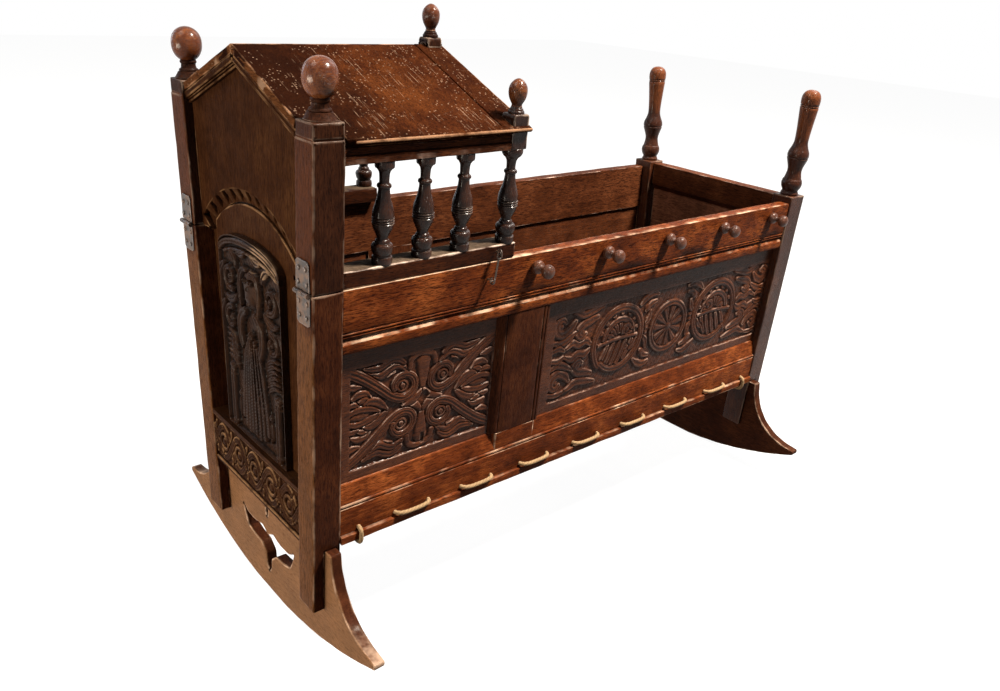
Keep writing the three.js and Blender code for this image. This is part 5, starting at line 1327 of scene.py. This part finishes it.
def splay_band(columns=260, rows=15, pitch=0.13):
    """The arch's sunk edge: a band that falls from the board's face to the opening, cut by
    hollow gouges that grow towards the opening, with a flat back and ends."""
    inner = math.acos(ARCH_WIDE / ARCH_RADIUS)
    turn = np.linspace(inner - 0.02, math.pi - inner + 0.02, columns)[None]
    way = np.linspace(0, 1, rows)[:, None]
    radius = ARCH_RADIUS + SPLAY * (1 - way)
    beat = np.abs(((turn - math.pi / 2) / pitch + 0.5) % 1 - 0.5) * 2
    scoop = np.clip(1 - (beat / (0.34 + 0.3 * way)) ** 2, 0, 1) ** 0.6
    depth = scoop * np.sin(np.pi * np.clip(way * 1.1, 0, 1)) ** 0.6 * 5.0
    # Ridges between the gouges are made paler and the gouges darker: painted highlight and painted
    # shade.
    worn = np.clip(0.8 - scoop * 2, 0, 1) * 0.6
    sunk = np.clip(scoop * 1.6, 0, 1) * (depth > 0.5)
    x_at = 12.2 + 7.6 * way + 0 * turn + depth
    y_at = radius * np.cos(turn)
    z_at = ARCH_CENTRE + radius * np.sin(turn)
    front = np.stack([x_at, y_at, z_at], -1)
    back = np.stack([np.full_like(x_at, 23.6), y_at, z_at], -1)
    index = np.arange(2 * rows * columns).reshape(2 * rows, columns)
    seam = np.stack([index[-1, :-1], index[-1, 1:], index[0, 1:], index[0, :-1]], 1)
    first, last = (np.stack([ring[:rows - 1], ring[1:rows], ring[-2:rows - 1:-1],
                             ring[-1:rows:-1]], 1) for ring in (index[:, 0], index[:, -1]))
    return Shape(np.concatenate([front, back[::-1]]).reshape(-1, 3),
                 np.concatenate([grid_quads(2 * rows, columns), seam, first, last[:, ::-1]]),
                 np.zeros((0, 3), int), np.concatenate([worn, 0 * worn]).reshape(-1),
                 np.concatenate([sunk, 0 * sunk]).reshape(-1))


spring_out = math.sqrt((ARCH_RADIUS + SPLAY) ** 2
                       - (ARCH_RADIUS * math.sin(math.acos(ARCH_WIDE / ARCH_RADIUS))) ** 2)
front_layer = gable_layer(ARCH_RADIUS + SPLAY, spring_out, 12, 20, 83)
back_layer = gable_layer(ARCH_RADIUS, ARCH_WIDE, 19.6, 24, 84)
rakes = []
for hand in (1, -1):
    for low, high, x0 in ((0, 9, 3), (8.4, 15, 6.5)):
        end = gable_end(shoulder - 12)
        outline = [(0, roof_under(0) - GAP - low), (hand * end, shoulder - low),
                   (hand * end, shoulder - high), (0, roof_under(0) - GAP - high)]
        rakes.append(slab(outline, x0, 12.5, along_x, soft=1.2, edge=1.2, seed=85))
make("oak_gable_board", [front_layer, back_layer, splay_band(), *rakes], "hood",
     oak("end", "z", 0.6, 0.0, shine=0.03), "gable_board")

# The hood's roof, rails and turned pieces.

slope = math.atan(PITCH)
CORNER_AT, CORNER_BLOCK, CORNER_DEPTH, CORNER_TOP = 275.5, 24, 13.2, 687
BALUSTER_AT = (94, 148.5, 204.5)
BED_TOP, EAVE_LOW = 528.7, 645.6


def roof_place(side):
    """Outline (x, way down the slope) with t the way down into the board."""
    def place(a, b, t):
        out = b * math.cos(slope) - t * math.sin(slope)
        high = RIDGE - b * math.sin(slope) - t * math.cos(slope)
        return np.stack([a, -side.inward * out, high], -1)
    return place


for side in sides:
    place = roof_place(side)
    down = lambda y: y / math.cos(slope)
    post_in = across(POST, 680) - 0.6
    lip_at = down(184.5)
    block_in = across(CORNER_DEPTH + CORNER_BLOCK / 2, 680) - 0.5
    block_out = across(CORNER_DEPTH - CORNER_BLOCK / 2, 680) + 0.5
    block_from = CORNER_AT - CORNER_BLOCK / 2 - 0.5
    main = slab([(2, 0.4), (247, 0.4), (247, lip_at), (POST + 0.8, lip_at),
                 (POST + 0.8, down(post_in)), (2, down(post_in))],
                0, 9.6, place, soft=1.5, edge=1.2, seed=91, sway=0.5, step=14)
    strip = slab([(247.6, 0.2), (288, 0.2), (288, down(block_in)), (block_from, down(block_in)),
                  (block_from, lip_at), (247.6, lip_at)],
                 -0.5, 9.8, place, soft=1.5, edge=1.4, seed=92, sway=0.4, step=14)
    lip = slab([(lip_at - 6, -0.2), (down(189) - 1, 0), (down(189.4), 1.6), (down(189), 3.6),
                (down(188), 4.8), (lip_at - 6, 4.8)], 48, 289.4,
               lambda a, b, t, place=place: place(t, a, b), soft=1.2, edge=1.0, seed=93,
               sway=0.45, step=10, guard=1.0)
    lug = slab([(CORNER_AT + CORNER_BLOCK / 2 - 2, down(block_out)), (289.2, down(block_out)),
                (289.2, lip_at), (block_from, lip_at), (block_from, down(block_out) + 0.1)],
               0, 4.6, place, soft=0.8, edge=0.8, seed=94)
    for piece in (main, strip):
        x = piece.points[:, 0]
        piece.worn[np.abs(x - 247.3) < 5] *= 0.15
        # The boards' head end face is made paler: painted light for the light it catches.
        piece.pale = np.where(x < 2.3, 1.0, 0)
    # A painted highlight along the top of the lip's nosing.
    drop, out = RIDGE - lip.points[:, 2], np.abs(lip.points[:, 1])
    under = drop * math.cos(slope) - out * math.sin(slope)
    beyond = out * math.cos(slope) + drop * math.sin(slope) - down(189)
    lip.worn = np.where((under < 2.5) & (beyond > -2.0), 1.0, 0)
    make(f"oak_roof_{side.name}", [main, strip, lip, lug], "hood",
         oak("roof", "y", 0.7, 0.0, 1.0, edge_paling=0.7, shine=0.02, light_or_wear_tone=(0.06, 0.022, 0.008),
             darker_ends=(-0.43, -0.33, -0.235, -0.215)), f"roof_{side.name}")

    eave_to = CORNER_AT - CORNER_BLOCK / 2 - GAP
    top_out = roof_under(across(3.5, 665)) - 1.2
    top_in = roof_under(across(19.5, 665)) - 0.8
    eave = slab([(1.5, EAVE_LOW), (1.2, 652.6), (1.8, 654.6), (3.6, 655.4), (3.6, top_out),
                 (19.5, top_in), (19.5, EAVE_LOW)], rail_from, eave_to, side.along_x,
                soft=0.8, edge=0.6, seed=95, guard=1.2)
    high = eave.points[:, 2]
    outer = np.abs(eave.points[:, 1]) > across(6, high)
    # The fascia's lower band is made paler: painted light, as the band above lies in the roof's
    # shade.
    eave.worn = np.maximum(eave.worn * 0.6, outer * np.where(high < 652, 0.42, 0))
    make(f"oak_fascia_{side.name}", eave, "hood", oak("panel", "x", figure=0.9),
         f"fascia_{side.name}")
    bed = slab([(38.3, SPLIT + GAP), (286 - 2, SPLIT + GAP), (286, SPLIT + 2), (286, BED_TOP),
                (38.3, BED_TOP)], 2.4, 34.5, side.along_depth, soft=1.4, edge=1.6, step=14,
               sway=0.35, seed=96)
    x, high = bed.points[:, 0], bed.points[:, 2]
    outer = np.abs(bed.points[:, 1]) > across(6.2, high)
    # Painted highlights along the top outer edge, and along the bottom outer edge towards the head
    # end.
    bed.worn = np.maximum(bed.worn * 0.5, outer * np.where(high > BED_TOP - 1.4, 0.75, 0)
                          + outer * np.where(high < SPLIT + 1.6, np.interp(
                              x, [120, 220], [1, 0.3]), 0))
    make(f"oak_bed_rail_{side.name}", bed, "hood",
         oak("deep", "x", 0.4, 0.1, figure=0.9),
         f"bed_rail_{side.name}")
    dust = slab([(40, BED_TOP - 0.3), (283.6, BED_TOP - 0.3), (283.6, BED_TOP + 0.25),
                 (40, BED_TOP + 0.25)], 4.2, 33, side.along_depth, soft=0.2, edge=0.2,
                guard=0.1, sway=0, step=12)
    make(f"oak_dust_{side.name}", dust, "hood", oak("dust", "x", 0.6, 0))
    for i, x in enumerate(BALUSTER_AT):
        piece = turned(BALUSTER, side.standing(x, CORNER_DEPTH, BED_TOP), 32, seed=100 + i)
        make(f"oak_baluster_{side.name}_{i + 1}", piece, "hood",
             oak("black", "z", 0.2, 0.4, edge_paling=0.7, shine=0.5),
             f"baluster_{side.name}_{i + 1}")
    half = CORNER_BLOCK / 2
    block = slab([(CORNER_AT - half, EAVE_LOW), (CORNER_AT + half, EAVE_LOW),
                  (CORNER_AT + half, CORNER_TOP - 3), (CORNER_AT + half - 2, CORNER_TOP),
                  (CORNER_AT - half + 2, CORNER_TOP), (CORNER_AT - half, CORNER_TOP - 3)],
                 CORNER_DEPTH - half, CORNER_DEPTH + half, side.along_depth, soft=1.5,
                 edge=1.6, seed=97)
    stand = side.standing(CORNER_AT, CORNER_DEPTH, CORNER_TOP)
    egg = turned(EGG[:10] + [(8.6, 4)], stand, 36, seed=98)
    make(f"oak_egg_{side.name}", turned([(7.4, 4), *EGG[9:]], stand, 36, seed=98), "hood",
         polished)
    leg = turned(CORNER_LEG, side.standing(CORNER_AT, CORNER_DEPTH, BED_TOP), 32, seed=99)
    make(f"oak_corner_post_{side.name}", [leg, block, egg], "hood",
         oak("black", "z", 0.22, 0.4, edge_paling=0.7, shine=0.5), f"corner_post_{side.name}")

arch_end = lambda z: across(CORNER_DEPTH + CORNER_BLOCK / 2, z) - GAP
arch_shoulder = roof_under(arch_end(CORNER_TOP)) - GAP
soffit = [((arch_end(EAVE_LOW) - 18) * math.cos(a), EAVE_LOW + 40 * math.sin(a))
          for a in np.linspace(0, math.pi, 15)]
make("oak_front_arch",
     slab([(arch_end(EAVE_LOW), EAVE_LOW), (arch_end(arch_shoulder), arch_shoulder),
           (0, roof_under(0) - GAP), (-arch_end(arch_shoulder), arch_shoulder),
           (-arch_end(EAVE_LOW), EAVE_LOW), *reversed(soffit)],
          271.5, 283.5, along_x, seed=88, edge=1.3),
     "hood", oak("red", "y"), "front_arch")

RIDGE_AT, RIDGE_BLOCK, RIDGE_TOP = 272, 22, 757
half = RIDGE_BLOCK / 2
block = slab([(0, RIDGE + GAP), (half, RIDGE - half * PITCH + GAP), (half, RIDGE_TOP - 3.4),
              (half - 2.2, RIDGE_TOP), (-half + 2.2, RIDGE_TOP), (-half, RIDGE_TOP - 3.4),
              (-half, RIDGE - half * PITCH + GAP)], RIDGE_AT - half, RIDGE_AT + half, along_x,
             seed=87, edge=1.8, soft=1.6)
stand = upright(RIDGE_AT, 0, RIDGE_TOP)
make("oak_ridge_acorn", [block, turned(EGG[:10] + [(8.6, 4)], stand, 36, seed=86)],
     "hood", oak("black", "z", 0.26, 0.3), "ridge_acorn")
make("oak_ridge_egg", turned([(7.4, 4), *EGG[9:]], stand, 36, seed=86), "hood", polished)

# Iron hinges, hook and catch.

KNUCKLE, HINGE_AXIS, PIN = 3.0, 3.3, 1.3
LEAF_HALF, LEAF_FROM, LEAF_TO, LEAF_FRONT, LEAF_BACK = 15, 3.3, 37.3, -1.9, -0.3
NAIL = [(0, 3.1), (0, 3.1), (0.7, 3.0), (1.5, 2.2), (1.9, 0.1)]


def nail(y, z):
    return turned(NAIL, lambda u, v, h: np.stack([LEAF_FRONT - h, y + u, z + v], -1), 14)


for side in sides:
    centre = -side.inward * float(across(POST / 2, SPLIT))
    for part, sign, body in (("upper", 1, "hood"), ("lower", -1, "cradle")):
        lows = SPLIT + sign * LEAF_FROM
        tops = SPLIT + sign * LEAF_TO
        plate = slab([(centre - LEAF_HALF, lows), (centre + LEAF_HALF, lows),
                      (centre + 14, tops - sign * 3), (centre + 10, tops), (centre - 10, tops),
                      (centre - 14, tops - sign * 3)],
                     LEAF_FRONT, LEAF_BACK, along_x, soft=0.8, edge=0.35, guard=0.8, step=8,
                     sway=0.15)
        nails = [nail(centre + a, SPLIT + sign * b) for a, b in
                 ((-9, 11), (9, 11), (-7, 28), (8, 27))]
        spans = [(-5.2, 5.2)] if part == "upper" else [(-LEAF_HALF, -5.8), (5.8, LEAF_HALF)]
        knuckles = []
        for start, stop in spans:
            path = np.stack([np.full(6, -HINGE_AXIS),
                             np.linspace(centre + start, centre + stop, 6),
                             np.full(6, float(SPLIT))], 1)
            knuckles.append(tube(path, KNUCKLE, body_place, 16))
            knuckles.append(slab([(centre + start, SPLIT + sign * 1.2),
                                  (centre + stop, SPLIT + sign * 1.2),
                                  (centre + stop, SPLIT + sign * 5),
                                  (centre + start, SPLIT + sign * 5)],
                                 LEAF_FRONT, LEAF_BACK, along_x,
                                 soft=0.3, edge=0.3, guard=0.3, step=8, sway=0))
        if part == "lower":
            path = np.stack([np.full(6, -HINGE_AXIS), np.linspace(centre - 15.6, centre + 15.6, 6),
                             np.full(6, float(SPLIT))], 1)
            knuckles.append(tube(path, PIN, body_place, 12))
        make(f"iron_hinge_{part}_{side.name}", [plate, *nails, *knuckles], body, iron(),
             f"hinge_{part}_{side.name}")

WIRE, EYE = 1.3, 3.6
HOOK_AT, HOOK_HIGH, CATCH_AT, CATCH_HIGH = 253.5, 522, 244.5, 486.5
ring_y = -float(across(0.5, HOOK_HIGH)) - GAP - 3 - EYE
pivot = np.array([HOOK_AT, ring_y, HOOK_HIGH - EYE])
catch = np.array([CATCH_AT, ring_y, CATCH_HIGH])
down_hook = (catch - pivot) / np.linalg.norm(catch - pivot)
over_hook = np.cross([0, 1, 0], down_hook)
turn_full = np.linspace(0, 2 * np.pi, 30)[:, None]
eye = [HOOK_AT, ring_y, HOOK_HIGH] + EYE * (np.cos(turn_full) * [0, 1, 0]
                                            + np.sin(turn_full) * [0, 0, 1])
shank = np.linspace([HOOK_AT, ring_y + EYE, HOOK_HIGH],
                    [HOOK_AT, ring_y + EYE + 3, HOOK_HIGH], 5)
make("iron_hook_eye", [tube(eye, WIRE * 0.9, body_place), tube(shank, WIRE, body_place)],
     "hood", iron(), "hook_eye")
open_turn = np.linspace(np.radians(122), np.radians(418), 26)[:, None]
cup = catch + EYE * (np.cos(open_turn) * [0, 1, 0] - np.sin(open_turn) * down_hook)
shank = np.linspace([CATCH_AT, ring_y + EYE, CATCH_HIGH],
                    [CATCH_AT, -float(across(2, CATCH_HIGH)) - 0.1, CATCH_HIGH], 5)
make("iron_catch_eye", [tube(cup, WIRE * 0.9, body_place), tube(shank, WIRE, body_place)],
     "cradle", iron(), "catch_eye")
loop_at = pivot + down_hook * (EYE - 2 * WIRE - GAP)
loop = loop_at + EYE * (np.cos(turn_full) * down_hook + np.sin(turn_full) * over_hook)
elbow = catch - over_hook * (2 * WIRE + GAP)
shank = np.concatenate([
    np.linspace(loop_at + down_hook * EYE, elbow - down_hook * 2.4, 12),
    bezier(elbow - down_hook * 2, elbow - down_hook * 0.6, elbow + over_hook * 0.4,
           elbow + over_hook * 1.8, 8)[1:],
    np.linspace(elbow + over_hook * 2.4, catch + over_hook * 3.4, 4)])
wire = np.concatenate([np.full(len(shank) - 3, WIRE * 0.95), [0.9, 0.7, 0.4]])
make("iron_hook", [tube(loop, WIRE * 0.85, body_place), tube(shank, wire, body_place)],
     "hook", iron(), "hook")

# The bed's rope.

ROPE_RADIUS, ROPE_BEND, ROPE_OUT, ROPE_SAG = 3.0, 8.0, -5.8, 1.2
KNOT_DROP = 7


def rope_point(side, x, depth, high=ROPE_HIGH):
    return (x, -side.inward * float(across(depth, high)), high)


def rope_outside(side, start, stop):
    """Out of one hole, along the outside with a dip, and into the next."""
    way = math.copysign(1, stop - start)
    turn = (0, math.pi / 4, math.pi / 2)
    leave = [rope_point(side, start + way * ROPE_BEND * (1 - math.cos(a)),
                        ROPE_OUT + ROPE_BEND * (1 - math.sin(a))) for a in turn]
    enter = [rope_point(side, stop - way * ROPE_BEND * (1 - math.cos(a)),
                        ROPE_OUT + ROPE_BEND * (1 - math.sin(a))) for a in turn]
    dips = [rope_point(side, x, ROPE_OUT, ROPE_HIGH - ROPE_SAG)
            for x in (start + way * 2 * ROPE_BEND, stop - way * 2 * ROPE_BEND)]
    return leave + dips + enter[::-1]


def rope_end(x):
    knot = RAIL_FOOT - KNOT_DROP
    return [rope_point(near, x, ROPE_OUT + ROPE_BEND),
            rope_point(near, x, ROPE_OUT + ROPE_BEND * 0.3, ROPE_HIGH - 0.8),
            rope_point(near, x, ROPE_OUT, ROPE_HIGH - 4.8),
            rope_point(near, x, ROPE_OUT, RAIL_FOOT),
            rope_point(near, x, ROPE_OUT + ROPE_BEND * 0.4, knot + 1),
            rope_point(near, x, ROPE_OUT + ROPE_BEND * 2.9, knot)]


holes = [ROPE_FIRST + ROPE_STEP * i for i in range(ROPE_HOLES)]
route = rope_end(holes[-1])[::-1]
here = near
for i in range(ROPE_HOLES - 1, 0, -1):
    here = far if here is near else near
    route += rope_outside(here, holes[i], holes[i - 1])
route += rope_end(holes[0])
route = np.array(route)
far_along = np.concatenate([[0], np.cumsum(np.linalg.norm(np.diff(route, axis=0), axis=1))])
fine = np.arange(0, far_along[-1], 2.1)
path = np.stack([np.interp(fine, far_along, route[:, i]) for i in range(3)], 1)
for _ in range(3):
    path[1:-1] = (path[:-2] + 2 * path[1:-1] + path[2:]) / 4


def knot(centre, seed):
    """A simple knot: the rope wound twice in a tight, slightly tipped coil."""
    turn = np.linspace(0, 4.6 * np.pi, 90)
    coil = np.stack([2.9 * np.cos(turn), 2.5 * np.sin(turn),
                     np.linspace(2.9, -2.9, 90) + 0.7 * np.sin(turn * 0.5 + seed)], 1)
    tail = np.linspace(coil[-1], coil[-1] + np.array([7.5, 3.0, -3.0]), 14)[1:]
    return tube(np.concatenate([coil, tail]) + centre, 2.6, body_place, 12, 3, 17, 0.24)


rope = tube(path, ROPE_RADIUS, body_place, 18, 3, 18, 0.26)
make("laid_rope", [rope, knot(route[0], 0), knot(route[-1], 2)], "cradle", hemp(),
     "bed_rope", crease=80)

# Floor and light.


def floor_material():
    """A matt floor that the camera sees as plain white, and that lights the wood only weakly."""
    graph = Graph("floor")
    graph.shade(Base_Color=(0.02, 0.013, 0.009, 1), Roughness=0.9, Specular_IOR_Level=0.0)
    light = graph.node("ShaderNodeEmission", {}, {"Color": (1, 1, 1, 1), "Strength": 0.95})
    matt = graph.node("ShaderNodeBsdfDiffuse", {}, {"Color": (0.15, 0.15, 0.15, 1)})
    pale = graph.node("ShaderNodeAddShader", {}, {0: light, 1: matt})
    mixed = graph.node("ShaderNodeMixShader", {}, {
        0: graph.looked_at(), 1: Value(graph, graph.shader.outputs[0]), 2: pale})
    graph.feed(graph.tree.nodes["Material Output"].inputs["Surface"], mixed)
    return graph.material


FLOOR_HALF = 9
mesh = bpy.data.meshes.new("floor")
mesh.from_pydata([(a * FLOOR_HALF, b * FLOOR_HALF, 0) for a, b in
                  ((-1, -1), (1, -1), (1, 1), (-1, 1))], [], [(0, 1, 2, 3)])
mesh.materials.append(floor_material())
floor = bpy.data.objects.new("floor", mesh)
bpy.context.scene.collection.objects.link(floor)

world = bpy.data.worlds.new("world")
bpy.context.scene.world = world
sky = Graph("sky", world)
plain = sky.node("ShaderNodeBackground", {}, {"Color": (0.95, 0.97, 1, 1), "Strength": 0.1})
white = sky.node("ShaderNodeBackground", {}, {"Color": (1, 1, 1, 1), "Strength": 1.0})
mixed = sky.node("ShaderNodeMixShader", {}, {0: sky.looked_at(), 1: plain, 2: white})
sky.feed(sky.tree.nodes["World Output"].inputs["Surface"], mixed)


def lamp(name, place, aim, size, power, colour=(1, 1, 1)):
    data = bpy.data.lights.new(name, "AREA")
    data.shape = "RECTANGLE"
    data.size, data.size_y = size
    data.energy = power
    data.color = colour
    light = bpy.data.objects.new(name, data)
    light.location = place
    way = np.subtract(aim, place)
    light.rotation_euler = (math.atan2(math.hypot(way[0], way[1]), -way[2]), 0,
                            math.atan2(way[1], way[0]) - math.pi / 2)
    bpy.context.scene.collection.objects.link(light)


lamp("overhead", (1.05, -1.1, 3.0), (0, 0, 0.45), (0.4, 0.4), 405, (1, 0.93, 0.82))
lamp("behind", (2.4, 0.6, 2.6), (0, 0, 0.45), (1.0, 1.6), 36, (1, 0.98, 0.96))
lamp("left", (-2.6, 0.1, 0.34), (0, 0, 0.34), (1.4, 0.56), 94, (1, 0.9, 0.74))
lamp("fill", (-1.7, 0.2, 3.0), (0.2, 0, 0.3), (1.2, 1.2), 52, (1, 0.92, 0.82))
lamp("window", (-1.2, 2.7, 1.3), (0, 0, 0.5), (0.3, 1.3), 15, (0.7, 0.84, 1))

bpy.context.scene.view_settings.view_transform = "Standard"
